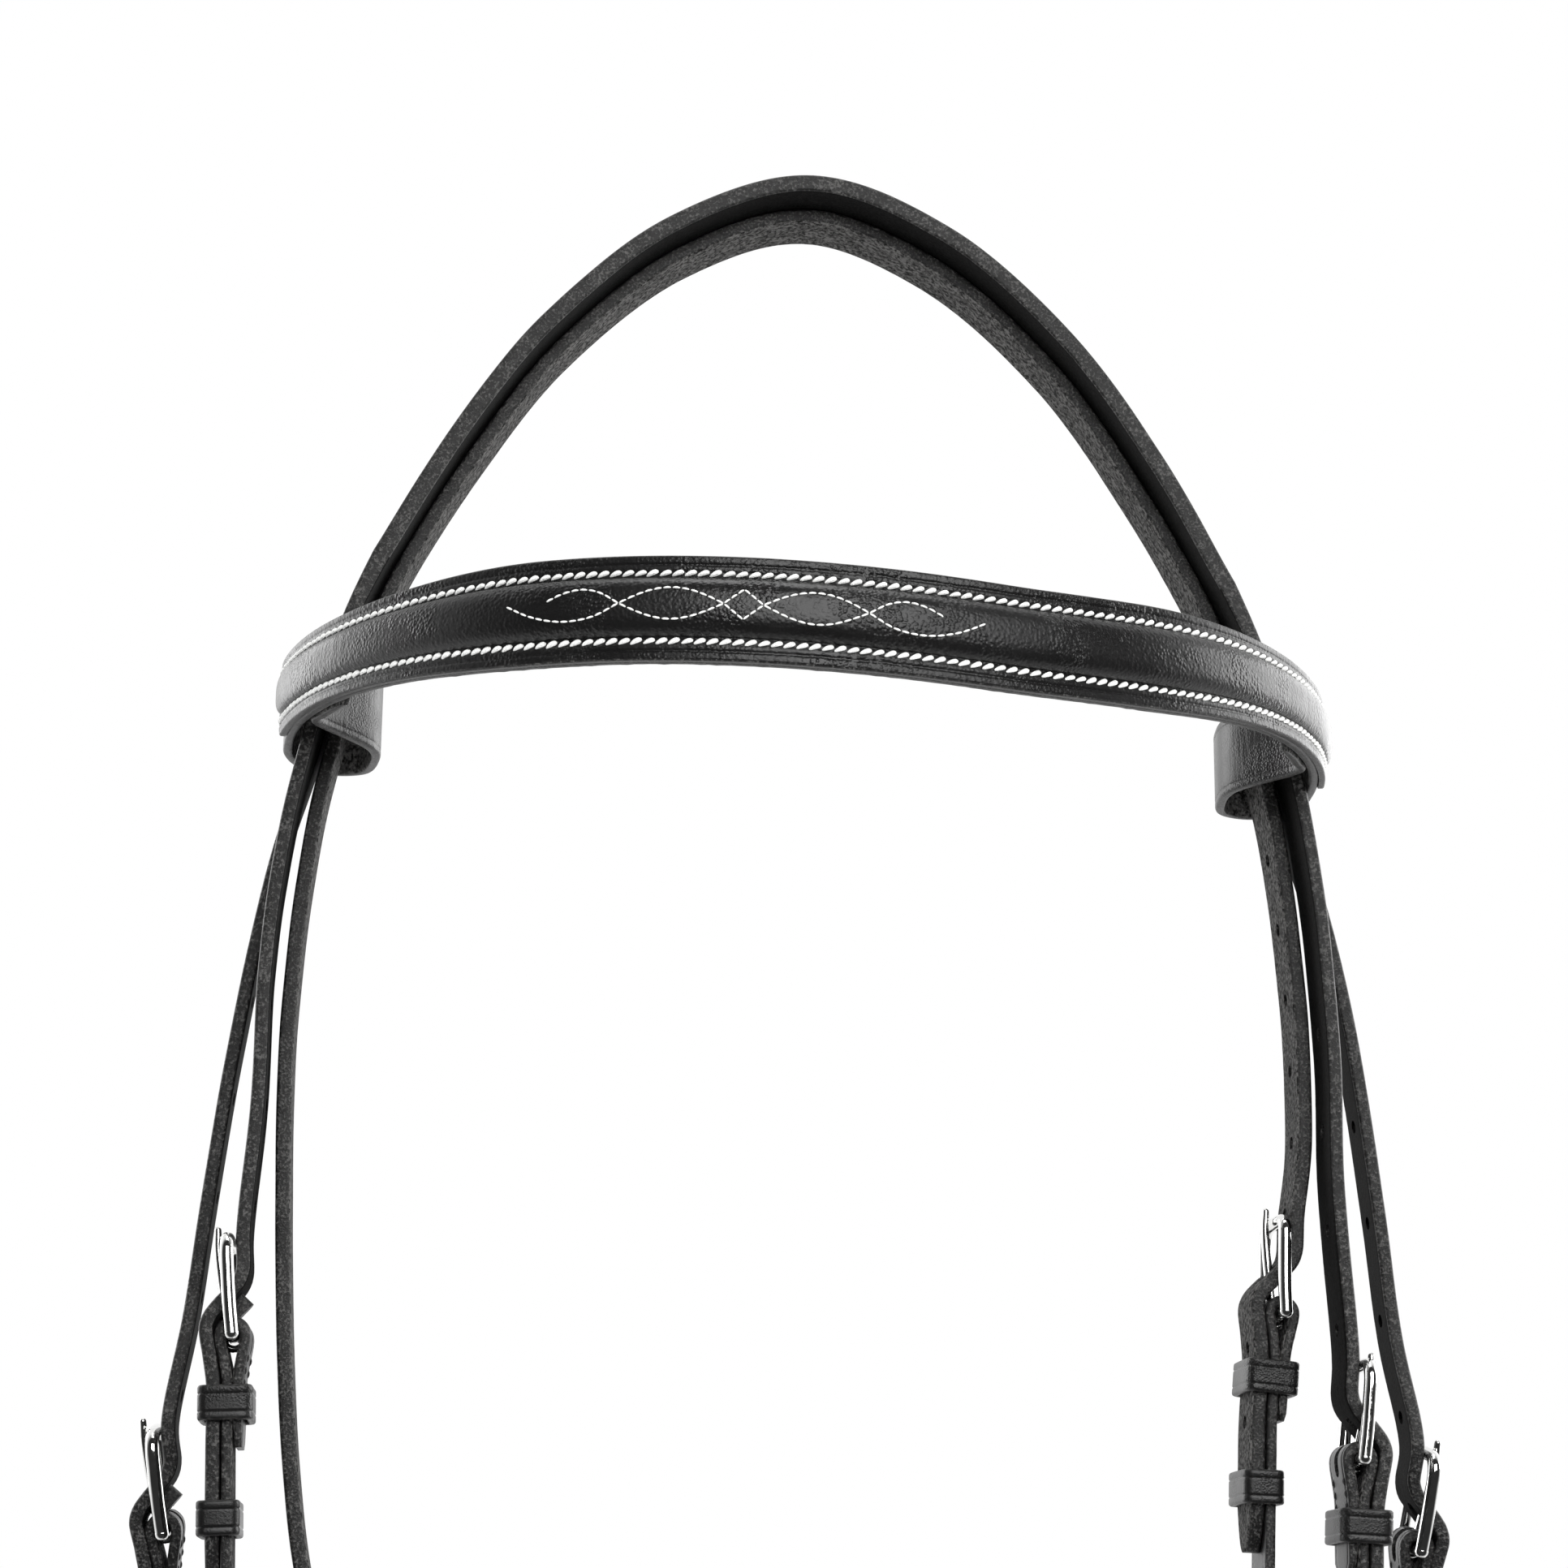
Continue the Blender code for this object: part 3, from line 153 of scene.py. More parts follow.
# Browband
BROW_WIDTH = 0.0254
BROW_BACKING = 0.0026
BROW_COVER = 0.0014
RAISED_WIDTH = 0.0142
RAISED_HEIGHT = 0.0034
RAISED_END_SHARE = 0.12
BROW_MIDDLE_DROP = 0.158
BROW_LOOP_SPACE = 0.0218
BROW_LOOP_CLEAR = 0.0034
BROW_TILT = math.radians(2.4)
BROW_SHIFT = 0.0015
BROW_LOOP_BACK = 0.0185
BROW_TAB_START = math.radians(27)
BROW_TAB_END = math.radians(16)
BROW_TAB_KNOTS = 4
BROW_TAB_GAP_SHARE = 1.5
BROW_LOOP_SHARES = (
    (0.0, -0.55),
    (-0.014, 0.1),
    (0.14, 0.76),
    (0.5, 1.0),
    (0.86, 0.76),
    (1.0, 0.25),
)
RAISED_START = math.radians(7)
# Towards its ends the browband is worn narrower, and its near end rides a little higher and closer
BROW_END_SHARE = 0.78
BROW_NARROW_FROM, BROW_NARROW_TO = 0.070, 0.130
NEAR_END_LIFT = 0.0065
NEAR_END_PULL = 0.0026
NEAR_LIFT_FROM = 0.030
BROW_KNOTS = 30

STACK = CROWN_THICK + FIT + HEADSTRAP_THICK
BIT_FOLD_DROP = max(CHEEK_BAR_DROP.values()) + CHEEKPIECE_LENGTH
SIDES = {"off": -1, "near": 1}

# Shares of the head's half width and of the drops, down the straps, as in the part
ARCH_SHARES = ((0.288, 0.081), (0.546, 0.262), (0.722, 0.458), (0.869, 0.669))
THROAT_SHARES = (
    (0.938, 0.815),
    (1.000, 1.000),
    (1.048, 1.131),
    (1.098, 1.349),
    (1.145, 1.628),
    (1.172, 1.835),
)
CHEEK_SHARES = ((0.938, 0.815), (1.000, 1.000), (1.034, 1.200), (1.056, 1.468), (1.056, 1.713))
HEADSTRAP_SHARES = ((0.898, 0.820), (0.958, 1.000), (0.986, 1.197), (1.010, 1.526), (1.012, 1.830))
THROATLATCH_SHARES = (
    (0.96, 0.12, 0.874),
    (0.88, 0.42, 0.922),
    (0.66, 0.76, 0.970),
    (0.34, 0.95, 0.994),
    (0.0, 1.0, 1.0),
)
TAIL_SHARES = (0.0, 0.05, 0.16, 0.28, 0.42, 0.57, 0.72, 0.86, 1.0)
LAYER_SHARES = (0.0, 0.06, 0.2, 0.5, 1.0)
CHEEK_KNOT_SHARES = (0.3, 0.7)
THROAT_TURN_SHARE = 0.25

# Where each buckle sits
CROWN_END_WIDTH = CHEEK_WIDTH + SLIT + THROAT_WIDTH
CHEEK_FORWARD = CROWN_SET_FORWARD + (CROWN_END_WIDTH - CHEEK_WIDTH) / 2
THROAT_FORWARD = CROWN_SET_FORWARD - (CROWN_END_WIDTH - THROAT_WIDTH) / 2
CHEEK_BAR_HALF_WIDTH = 0.1400
THROAT_BAR_HALF_WIDTH = 0.1555
THROAT_WIDER = {"off": 0.0, "near": 0.0027}
THROAT_SPREAD_SHARE = 0.35
NOSE_BAR_HALF_WIDTH = 0.1235
JAW_BUCKLE_TURN = math.radians(-62)
JAW_CHAPE_TURN = math.radians(15)

# The finish of the leather, seen close: rounded edges, creases, a slight waviness, rough flesh
EDGE_ROUND = 0.0009
EDGE_STEPS = 4
CREASE_IN = 0.0021
CREASE_DEPTH = 0.00016
CREASE_SHARES = ((-0.9, 0.0), (-0.4, 0.55), (0.0, 1.0), (0.4, 0.55), (0.9, 0.0))
CREASE_HALF = 0.0004
FINE_STEP = 0.0013
FINE_TURN = math.radians(5)
LEAST_STEP = 0.0003
TIP_STEPS = 18
WAVE_HEIGHT = 0.00007
WAVE_LENGTH = 0.021
FRAY_HEIGHT = 0.00022
FRAY_LENGTH = 0.0011
WRINKLES_FROM, WRINKLES_TO = 0.075, 0.125
CLOSED_GAP = 0.00017
SKIVE_LENGTH = 0.009
SKIVE_SHARE = 0.55
CORNER_LENGTH = 0.0025

# Thread: rope-like rows beside the padding, and the fancy pattern on it
ROPE_ACROSS = 0.0082
ROPE_PITCH = 0.0029
ROPE_LENGTH = 0.0030
ROPE_THICK = 0.00115
ROPE_TILT = math.radians(22)
ROPE_SINK, ROPE_LIFT, ROPE_FAT = 0.3, 0.2, 0.25
UNEVEN_SCALE = 900
UNEVEN_PLACE, UNEVEN_LEAN, UNEVEN_THICK = 0.06, 0.35, 0.12
STITCH_BLUNT = 2.6
ROPE_GROOVE_DEPTH = 0.00028
ROPE_GROOVE_HALF = 0.0007
FLANGE_CREASE_ACROSS = 0.0104
FANCY_PITCH = 0.0021
FANCY_HOLE_SHARES = (0.04, 0.90)
FANCY_THICK = 0.00050
FANCY_SINK = 0.00022
FANCY_LIFT_SHARE = 0.32
# Along and across from the front's middle: the diamond's corner and tip, the lens, the tails
DIAMOND_SPOTS = ((0.0, 0.0036), (0.0044, 0.0))
LENS_START, LENS_END, LENS_HALF = 0.0044, 0.0279, 0.0038
LENS_STEPS = 24
SHORT_TAIL_SPOTS = (
    (0.0279, 0.0),
    (0.0322, 0.0027),
    (0.0365, 0.0037),
    (0.0410, 0.0029),
    (0.0450, 0.0011),
)
LONG_TAIL_SPOTS = (
    (0.0279, 0.0),
    (0.0335, -0.0029),
    (0.0410, -0.0038),
    (0.0485, -0.0022),
    (0.0550, 0.0010),
)
SEAM_PITCH = 0.0031
SEAM_LENGTH = 0.0025
SEAM_THICK = 0.0006
SEAM_IN = 0.0026
SEAM_SINK_SHARE, SEAM_LIFT_SHARE = 0.6, 0.2
TAB_SEAM_SHARE = 0.6
FANCY_SHIFT = {"browband": 0.0235, "noseband": 0.0}

# Steel: corners round a wire, the notch where a tongue rests, and the tongue's droop into it
WIRE_CORNERS = 24
NOTCH_DEPTH = 0.00035
NOTCH_HALF = 0.0019
TONGUE_DROOP = 0.0011
TONGUE_DROOP_SHARES = ((0.0, 0.0), (0.5, 0.0), (0.8, 0.35), (0.93, 0.8), (1.0, 1.0))
TONGUE_FLAT_SHARE = 0.92
RAIL_FOOT_SHARE = 1.04
TONGUE_WIDE_SHARE = 1.12
TONGUE_END_SHARE = 0.68


def held(value):
    """A value held between 0 and 1."""
    return min(1.0, max(0.0, value))


def eased(share):
    """From 0 to 1, slowly at both ends."""
    return share * share * (3 - 2 * share)


def turned_to(across, out, along):
    """A turn whose columns are the given directions."""
    return Matrix((across, out, along)).transposed().to_4x4()


# Lines of the straps
def smooth_through(points):
    """A dense smooth curve through the points, with uneven spans kept free of loops."""
    points = [Vector(p) for p in points]
    line = [points[0] * 2 - points[1], *points, points[-1] * 2 - points[-2]]
    dense = [points[0]]
    for a, b, c, d in zip(line, line[1:], line[2:], line[3:]):
        spans = [math.sqrt((q - p).length) for p, q in ((a, b), (b, c), (c, d))]
        start = (c - b) / spans[1] - (c - a) / (spans[0] + spans[1]) + (b - a) / spans[0]
        end = (d - c) / spans[2] - (d - b) / (spans[1] + spans[2]) + (c - b) / spans[1]
        start, end = start * spans[1], end * spans[1]
        count = max(2, math.ceil((c - b).length / CURVE_STEP))
        for i in range(1, count + 1):
            t = i / count
            bend = b * (2 * t**3 - 3 * t**2 + 1) + start * (t**3 - 2 * t**2 + t)
            dense.append(bend + c * (3 * t**2 - 2 * t**3) + end * (t**3 - t**2))
    return dense


def tangent_at(dense, i):
    return (dense[min(i + 1, len(dense) - 1)] - dense[max(i - 1, 0)]).normalized()


class Path:
    """A strap's middle line with the direction across it, read by distance along it."""

    def __init__(self, points, across, closed=False):
        self.dense = smooth_through(points)
        self.across = across
        self.closed = closed
        self.tangents = [tangent_at(self.dense, i) for i in range(len(self.dense))]
        if closed:
            joined = (self.tangents[0] + self.tangents[-1]).normalized()
            self.tangents[0] = self.tangents[-1] = joined
        self.lengths = [0.0]
        for a, b in zip(self.dense, self.dense[1:]):
            self.lengths.append(self.lengths[-1] + (b - a).length)
        self.length = self.lengths[-1]

    def nearest(self, point):
        """The distance along the path of its nearest point."""
        best = min(range(len(self.dense)), key=lambda i: (self.dense[i] - Vector(point)).length)
        return self.lengths[best]

    def frame(self, distance):
        """Columns: across the strap, out of its face, along it; then the middle point."""
        i = min(max(bisect_right(self.lengths, distance) - 1, 0), len(self.lengths) - 2)
        share = held((distance - self.lengths[i]) / (self.lengths[i + 1] - self.lengths[i]))
        along = self.tangents[i].lerp(self.tangents[i + 1], share).normalized()
        across = self.across(distance / self.length) if callable(self.across) else self.across
        across = (Vector(across) - along * along.dot(Vector(across))).normalized()
        middle = Matrix.Translation(self.dense[i].lerp(self.dense[i + 1], share))
        return middle @ turned_to(across, along.cross(across), along)

    def stations(self, start=0.0, end=None, tip=0.0):
        """Distances along the path, close together, and closer where it bends or has a tip."""
        end = self.length if end is None else end
        found, heading = [start], self.frame(start).col[2].xyz
        for distance, here in zip(self.lengths, self.tangents):
            step = distance - found[-1]
            if not start < distance < end - LEAST_STEP or step < LEAST_STEP:
                continue
            if step > FINE_STEP or here.angle(heading) > FINE_TURN:
                found.append(distance)
                heading = here
        if not tip:
            return [*found, end]
        kept = [distance for distance in found if distance < end - tip - LEAST_STEP]
        return kept + [end - tip * (1 - i / TIP_STEPS) ** 2 for i in range(TIP_STEPS + 1)]


def drop_at(share, bar_drop):
    """A drop from its share: up to 1 to the browband, beyond 1 on to the buckle's top rail."""
    if share <= 1:
        return BROW_DROP * share
    return BROW_DROP + (bar_drop - BUCKLE_REACH - RAIL_RADIUS - BROW_DROP) * (share - 1)


def side_point(side, half_width, drop, forward=0.0):
    return Vector((SIDES[side] * half_width, -forward, STACK - drop))


def arch_points(depth):
    """Knots over the poll, at a depth under the crownpiece's outer face, off side to near side."""
    forward = CROWN_SET_FORWARD if depth < CROWN_THICK else 0
    near = [side_point("near", HEAD_HALF_WIDTH * a, BROW_DROP * b, forward) for a, b in ARCH_SHARES]
    off = [Vector((-p.x, p.y, p.z)) for p in reversed(near)]
    whole = off + [Vector((0, -forward, STACK))] + near
    line = smooth_through(whole)
    knots = []
    for knot in whole:
        i = min(range(len(line)), key=lambda k: (line[k] - knot).length)
        along = tangent_at(line, i)
        inward = Vector((along.z, 0, -along.x))
        low_down = abs(knot.x) > HEAD_HALF_WIDTH * ARCH_SHARES[1][0]
        knots.append(line[i] + inward * (depth + FIT * (depth > CROWN_THICK and low_down)))
    return knots


def on_ring(half_width, front, back, turn):
    """A point of the plan's ring: the turn is 0 at the near side and grows towards the front."""
    depth = front if math.sin(turn) > 0 else back
    return Vector((half_width * math.cos(turn), -depth * math.sin(turn), 0))


def nose_point(turn, inside=0.0):
    """A point of the noseband's ring, moved in from its middle line."""
    sizes = [size - inside for size in (NOSE_HALF_WIDTH, NOSE_FRONT_DEPTH, JAW_BACK_DEPTH)]
    return on_ring(*sizes, turn) + Vector((0, 0, STACK - NOSE_DROP))


def throat_spot(side, a, b, c):
    """A point of the throatlatch from its shares of half width, depth and drop."""
    back = -THROAT_FORWARD + (THROAT_BACK_DEPTH + THROAT_FORWARD) * b
    half_width = (THROAT_BAR_HALF_WIDTH + THROAT_WIDER[side]) * a
    return side_point(side, half_width, THROAT_LOW_DROP * c, -back)


def towards_end(x, start=BROW_NARROW_FROM):
    return eased(held((x - start) / (BROW_NARROW_TO - start)))


def brow_narrowing(path, distance):
    """The browband's width at a place, as a share of its width in the middle."""
    return 1 - (1 - BROW_END_SHARE) * towards_end(abs(path.frame(distance).translation.x))


def tilted(x, y):
    """A place in the browband's plane, which hangs lower on the near side."""
    drop = BROW_MIDDLE_DROP + x * math.tan(BROW_TILT)
    lift = NEAR_END_LIFT * towards_end(x, NEAR_LIFT_FROM)
    return Vector((x + BROW_SHIFT - NEAR_END_PULL * towards_end(x), y, STACK - (drop - lift)))


def brow_point(turn, inside=0.0):
    """A point of the browband's middle line, moved in square to it, which sways to the off side."""
    outside = HEAD_HALF_WIDTH + BROW_BACKING / 2 + BROW_LOOP_CLEAR
    flat = on_ring(outside, FOREHEAD_DEPTH, FOREHEAD_DEPTH, turn)
    sway = -FOREHEAD_SWAY * max(0.0, math.sin(turn)) ** 4
    if inside:
        step = math.radians(1)
        along = brow_point(turn + step) - brow_point(turn - step)
        flat += Vector((along.y, -along.x, 0)).normalized() * inside
    return tilted(flat.x + sway, flat.y)


def brow_loop(side):
    """The folded end: from its stitched tab, round the straps, to the outer side."""
    sign = SIDES[side]
    inside = BROW_BACKING + STITCHED_GAP * BROW_TAB_GAP_SHARE
    step = (BROW_TAB_END - BROW_TAB_START) / (BROW_TAB_KNOTS - 1)
    turns = [BROW_TAB_START + step * i for i in range(BROW_TAB_KNOTS)]
    tab = [brow_point(turn if side == "near" else math.pi - turn, inside) for turn in turns]
    inner = HEAD_HALF_WIDTH + BROW_BACKING / 2 + BROW_LOOP_CLEAR - BROW_LOOP_SPACE
    spots = [(inner + BROW_LOOP_SPACE * a, BROW_LOOP_BACK * b) for a, b in BROW_LOOP_SHARES]
    return tab + [tilted(sign * x, y) for x, y in spots]


def hang_points(side, top, thick):
    """Down from a strap's last point to the inner face of the noseband."""
    inside = LAYER_THICK / 2 + FIT + HANG_CLEAR + thick / 2
    low = nose_point(0.0 if side == "near" else math.pi, inside)
    half_width = abs(low.x) + (abs(top.x) - abs(low.x)) * HANG_SHARE
    return [
        side_point(side, half_width, (NOSE_DROP + STACK - top.z) / 2),
        low + Vector((0, 0, NOSE_WIDTH)),
        low,
        low - Vector((0, 0, NOSE_WIDTH / 2 - FIT)),
    ]


class Buckle:
    """A place on a strap: origin on the bar, with across, out of the strap and up the strap."""

    def __init__(self, name, bar, up, out, width, billet_thick=BILLET_THICK):
        self.name, self.width, self.billet_thick = name, width, billet_thick
        up, out = Vector(up).normalized(), Vector(out)
        out = (out - up * up.dot(out)).normalized()
        self.frame = Matrix.Translation(Vector(bar)) @ turned_to(out.cross(up), out, up)
        self.wrap = BAR_RADIUS + FIT + LAYER_THICK / 2
        self.layer = (LAYER_THICK + STITCHED_GAP) / 2
        self.billet_low = self.layer + LAYER_THICK / 2 + FIT + billet_thick / 2
        self.billet_over = self.wrap + LAYER_THICK / 2 + FIT + billet_thick / 2
        self.billet_under = RAIL_OUT - RAIL_RADIUS - FIT - billet_thick / 2

    def at(self, out, up):
        return self.frame @ Vector((0, out, up))

    def carry(self, path):
        """Keep the strap that carries the buckle, so that the billet lies along it."""
        self.path = path
        self.bar_place = path.nearest(self.at(self.wrap, 0))
        self.heading = 1 if self.bar_place < path.length / 2 else -1

    def lay(self, drop):
        """A place on the carrying strap's outer layer, turned like the buckle."""
        spot = self.path.frame(self.bar_place + self.heading * drop)
        up = spot.col[2].xyz * -self.heading
        out = spot.col[1].xyz
        if out.dot(self.frame.col[1].xyz) < 0:
            out = -out
        return Matrix.Translation(spot.translation) @ turned_to(out.cross(up), out, up)

    def billet(self):
        """Knots of the billet: behind the top rail, out through the frame, over the bar, down."""
        points = [self.at(self.billet_under, BUCKLE_REACH + RAIL_RADIUS)]
        fall = BILLET_CROSSING_HIGH - BILLET_CROSSING_LOW
        for i in range(BILLET_CROSSING_KNOTS + 1):
            share = i / BILLET_CROSSING_KNOTS
            out = self.billet_under + (self.billet_over - self.billet_under) * eased(share)
            points.append(self.at(out, BILLET_CROSSING_HIGH - fall * share))
        halfway = (self.billet_over + self.billet_low) / 2
        points.append(self.at(halfway, -BILLET_SETTLE_DROP / 2))
        lift = Vector((0, self.billet_low - self.layer, 0))
        for share in TAIL_SHARES:
            drop = BILLET_SETTLE_DROP + (BILLET_TAIL - BILLET_SETTLE_DROP) * share
            points.append(self.lay(drop) @ lift)
        return points

    def chape(self):
        """Knots of the strap end: up the inside, round the bar, and down the outside."""
        neck = -self.wrap * CHAPE_NECK_SHARE
        points = [self.at(-self.layer, -CHAPE_RETURN), self.at(-self.layer, neck)]
        for step in range(7):
            turn = math.pi - step * math.pi / 6
            points.append(self.at(self.wrap * math.cos(turn), self.wrap * math.sin(turn)))
        points.append(self.at(self.layer, neck))
        points.append(self.at(self.layer, -CHAPE_RETURN))
        return points

    def tongue_line(self):
        """The tongue's middle line, from above its eye to its tip on the top rail."""
        low = Vector((0, TONGUE_RADIUS, BAR_RADIUS + TONGUE_EYE_WALL / 2))
        clear = RAIL_RADIUS + TONGUE_REST_GAP + TONGUE_RADIUS
        rest = Vector((0, RAIL_OUT + clear, BUCKLE_REACH))
        past = (RAIL_RADIUS + TONGUE_OVERHANG) / (rest.z - low.z)
        return low, rest + (rest - low) * past

    def tongue_point(self, up):
        low, high = self.tongue_line()
        return self.frame @ low.lerp(high, (up - low.z) / (high.z - low.z))

    def rail_knots(self):
        """Middle line of the frame's wire, from the bar up one side, along the top and back."""
        half = self.width / 2 + BUCKLE_SIDE_GAP + RAIL_RADIUS
        corner = RAIL_RADIUS * RAIL_CORNER_SHARE
        right = [Vector((half, RAIL_OUT * out, BUCKLE_REACH * up)) for up, out in RAIL_BOW_SHARES]
        for step in range(4):
            turn = step * math.pi / 6
            across, up = half - corner, BUCKLE_REACH - corner
            arc = Vector((math.cos(turn), 0, math.sin(turn))) * corner
            right.append(Vector((across, RAIL_OUT, up)) + arc)
        return right + [Vector((-p.x, p.y, p.z)) for p in reversed(right)]


def place_buckles():
    made = {}
    for side, sign in SIDES.items():
        bar = side_point(side, CHEEK_BAR_HALF_WIDTH, CHEEK_BAR_DROP[side], CHEEK_FORWARD)
        along = bar - side_point(side, BIT_FOLD_HALF_WIDTH, BIT_FOLD_DROP, CHEEK_FORWARD)
        out = (sign, 0, 0)
        made["cheek", side] = Buckle(f"{side}_cheek_buckle", bar, along, out, CHEEK_WIDTH)
        half_width = THROAT_BAR_HALF_WIDTH + THROAT_WIDER[side]
        bar = side_point(side, half_width, THROAT_BAR_DROP, THROAT_FORWARD)
        along = bar - throat_spot(side, *THROATLATCH_SHARES[0])
        made["throat", side] = Buckle(f"{side}_throat_buckle", bar, along, out, THROAT_WIDTH)
    bar = side_point("near", NOSE_BAR_HALF_WIDTH, NOSE_BAR_DROP)
    along = bar - side_point("near", NOSE_HALF_WIDTH, NOSE_DROP)
    made["nose", "near"] = Buckle(
        "noseband_buckle", bar, along, (-1, 0, 0), HEADSTRAP_WIDTH, HEADSTRAP_THICK
    )
    backwards = nose_point(JAW_BUCKLE_TURN) - nose_point(JAW_BUCKLE_TURN + JAW_CHAPE_TURN)
    outward = nose_point(JAW_BUCKLE_TURN) - nose_point(JAW_BUCKLE_TURN, NOSE_WIDTH)
    made["jaw", "near"] = Buckle(
        "jaw_buckle", nose_point(JAW_BUCKLE_TURN), backwards, outward, NOSE_STRAP_WIDTH, LAYER_THICK
    )
    return made


def headstrap_path(made):
    """The headstrap's line, and how far every piece moves so that its seat is at the origin."""
    depth = CROWN_THICK + FIT + HEADSTRAP_THICK / 2
    sides = {}
    for side, sign in SIDES.items():
        inward = Vector((-sign * HEADSTRAP_THICK / 2, 0, 0))
        spots = [(HEAD_HALF_WIDTH * a, drop_at(b, NOSE_BAR_DROP)) for a, b in HEADSTRAP_SHARES]
        sides[side] = [side_point(side, *spot) + inward for spot in spots]
    low = hang_points("off", sides["off"][-1], HEADSTRAP_THICK)
    knots = low[::-1] + sides["off"][::-1] + arch_points(depth) + sides["near"]
    path = Path(knots + made["nose", "near"].billet(), (0, 1, 0))
    top = path.nearest((0, 0, STACK - depth))
    seat = path.frame(top - SEAT_LENGTH / 2) @ Vector((0, -HEADSTRAP_THICK / 2, 0))
    return path, Matrix.Translation((0, -SEAT_SET_BACK, -seat.z))


# Shader nodes
def feed(tree, made, inputs):
    """Link a node's inputs where a socket is given, and set them where a value is."""
    for key, value in inputs.items():
        if isinstance(value, bpy.types.NodeSocket):
            tree.links.new(value, made.inputs[key])
        else:
            made.inputs[key].default_value = value


def add(tree, kind, inputs=None, **settings):
    """A shader node with its settings and inputs."""
    made = tree.nodes.new("ShaderNode" + kind)
    for key, value in settings.items():
        setattr(made, key, value)
    feed(tree, made, inputs or {})
    return made


def maths(tree, operation, *values):
    return add(tree, "Math", dict(enumerate(values)), operation=operation).outputs[0]


def plus(tree, value, added, share):
    """A value with a share of another added to it."""
    return maths(tree, "ADD", value, maths(tree, "MULTIPLY", added, share))


def vectors(tree, operation, *values):
    return add(tree, "VectorMath", dict(enumerate(values)), operation=operation).outputs[0]


def spread(tree, value, low, high, to_low=0.0, to_high=1.0):
    """A value taken from one range to another, and held at its ends."""
    inputs = {"Value": value, "From Min": low, "From Max": high}
    inputs |= {"To Min": to_low, "To Max": to_high}
    return add(tree, "MapRange", inputs, interpolation_type="SMOOTHSTEP").outputs["Result"]


def new_group(name, inputs, outputs):
    tree = bpy.data.node_groups.new(name, "ShaderNodeTree")
    for socket, value in inputs.items():
        kind = "NodeSocketVector" if value is None else "NodeSocketFloat"
        made = tree.interface.new_socket(socket, in_out="INPUT", socket_type=kind)
        if value is not None:
            made.default_value = value
    for socket in outputs:
        tree.interface.new_socket(socket, in_out="OUTPUT", socket_type="NodeSocketFloat")
    return tree, tree.nodes.new("NodeGroupInput").outputs, tree.nodes.new("NodeGroupOutput")


def use_group(tree, group, inputs):
    made = tree.nodes.new("ShaderNodeGroup")
    made.node_tree = group
    feed(tree, made, inputs)
    return made.outputs


def noise_value(tree, vector, scale, detail=2.0, rough=0.5):
    inputs = {"Vector": vector, "Scale": scale, "Detail": detail, "Roughness": rough}
    return add(tree, "TexNoise", inputs).outputs["Fac"]


def make_grain_group():
    """The height of a leather face's pebbles, which thin out in patches."""
    sockets = {"Vector": None, "Cells": 1500.0, "Patches": 60.0, "Least": 0.2}
    tree, given, out = new_group("leather_grain", sockets, ["Height"])
    warp = add(tree, "TexNoise", {"Vector": given["Vector"], "Scale": 700.0, "Detail": 1.0})
    shift = vectors(tree, "MULTIPLY", warp.outputs["Color"], (0.0004, 0.0004, 0.0004))
    place = vectors(tree, "ADD", given["Vector"], shift)
    inputs = {"Vector": place, "Scale": given["Cells"], "Smoothness": 0.6}
    cells = add(tree, "TexVoronoi", inputs, feature="SMOOTH_F1")
    pebble = spread(tree, cells.outputs["Distance"], 0.1, 0.75, 1.0, 0.0)
    fine = noise_value(tree, given["Vector"], 4200.0, 2.0)
    patch = spread(tree, noise_value(tree, given["Vector"], given["Patches"], 3.0), 0.38, 0.62)
    depth = maths(tree, "MAXIMUM", patch, given["Least"])
    deep = maths(tree, "MULTIPLY", pebble, depth)
    feed(tree, out, {"Height": plus(tree, deep, fine, 0.25)})
    return tree


def make_fibre_group():
    """The rough fibres of a cut edge or a flesh side: height, light tufts at its high points,
    partly the fibres' own tone and partly painted glints, and dark spots at its low points, painted
    shade in the hollows.
    """
    tree, given, out = new_group(
        "leather_fibres", {"Vector": None, "Size": 1800.0}, ["Height", "Tufts And Glints", "Hollow Shade"]
    )
    rough = noise_value(tree, given["Vector"], given["Size"], 5.0, 0.62)
    broad = noise_value(tree, given["Vector"], 260.0, 3.0, 0.55)
    # Lighter where the fibres stand highest: partly their own tone, partly painted glints.
    tufts_and_glints = spread(tree, plus(tree, rough, broad, 0.25), 0.61, 0.80)
    # Darker where the fibres lie deepest: painted shade in their hollows.
    spots = spread(tree, rough, 0.36, 0.47, 1.0, 0.0)
    feed(tree, out, {"Height": plus(tree, rough, broad, 0.8), "Tufts And Glints": tufts_and_glints, "Hollow Shade": spots})
    return tree


def make_crease_group():
    """Burnished lines along a strap's face, and thin bright lines where it turns its edge: partly
    wear, partly a painted highlight.
    """
    tree, given, out = new_group(
        "strap_creases", {"Vector": None, "Edge Distance": 0.005}, ["Crease", "Wear And Highlight"]
    )
    from_line = maths(tree, "ABSOLUTE", maths(tree, "SUBTRACT", given["Edge Distance"], CREASE_IN))
    crease = spread(tree, from_line, 0.0, CREASE_HALF, 1.0, 0.0)
    near_edge = spread(tree, given["Edge Distance"], 0.0, EDGE_ROUND, 1.0, 0.0)
    broken = spread(tree, noise_value(tree, given["Vector"], 420.0, 4.0, 0.6), 0.45, 0.68)
    # The bright edge line is partly wear and partly a painted highlight.
    feed(tree, out, {"Crease": crease, "Wear And Highlight": maths(tree, "MULTIPLY", near_edge, broken)})
    return tree


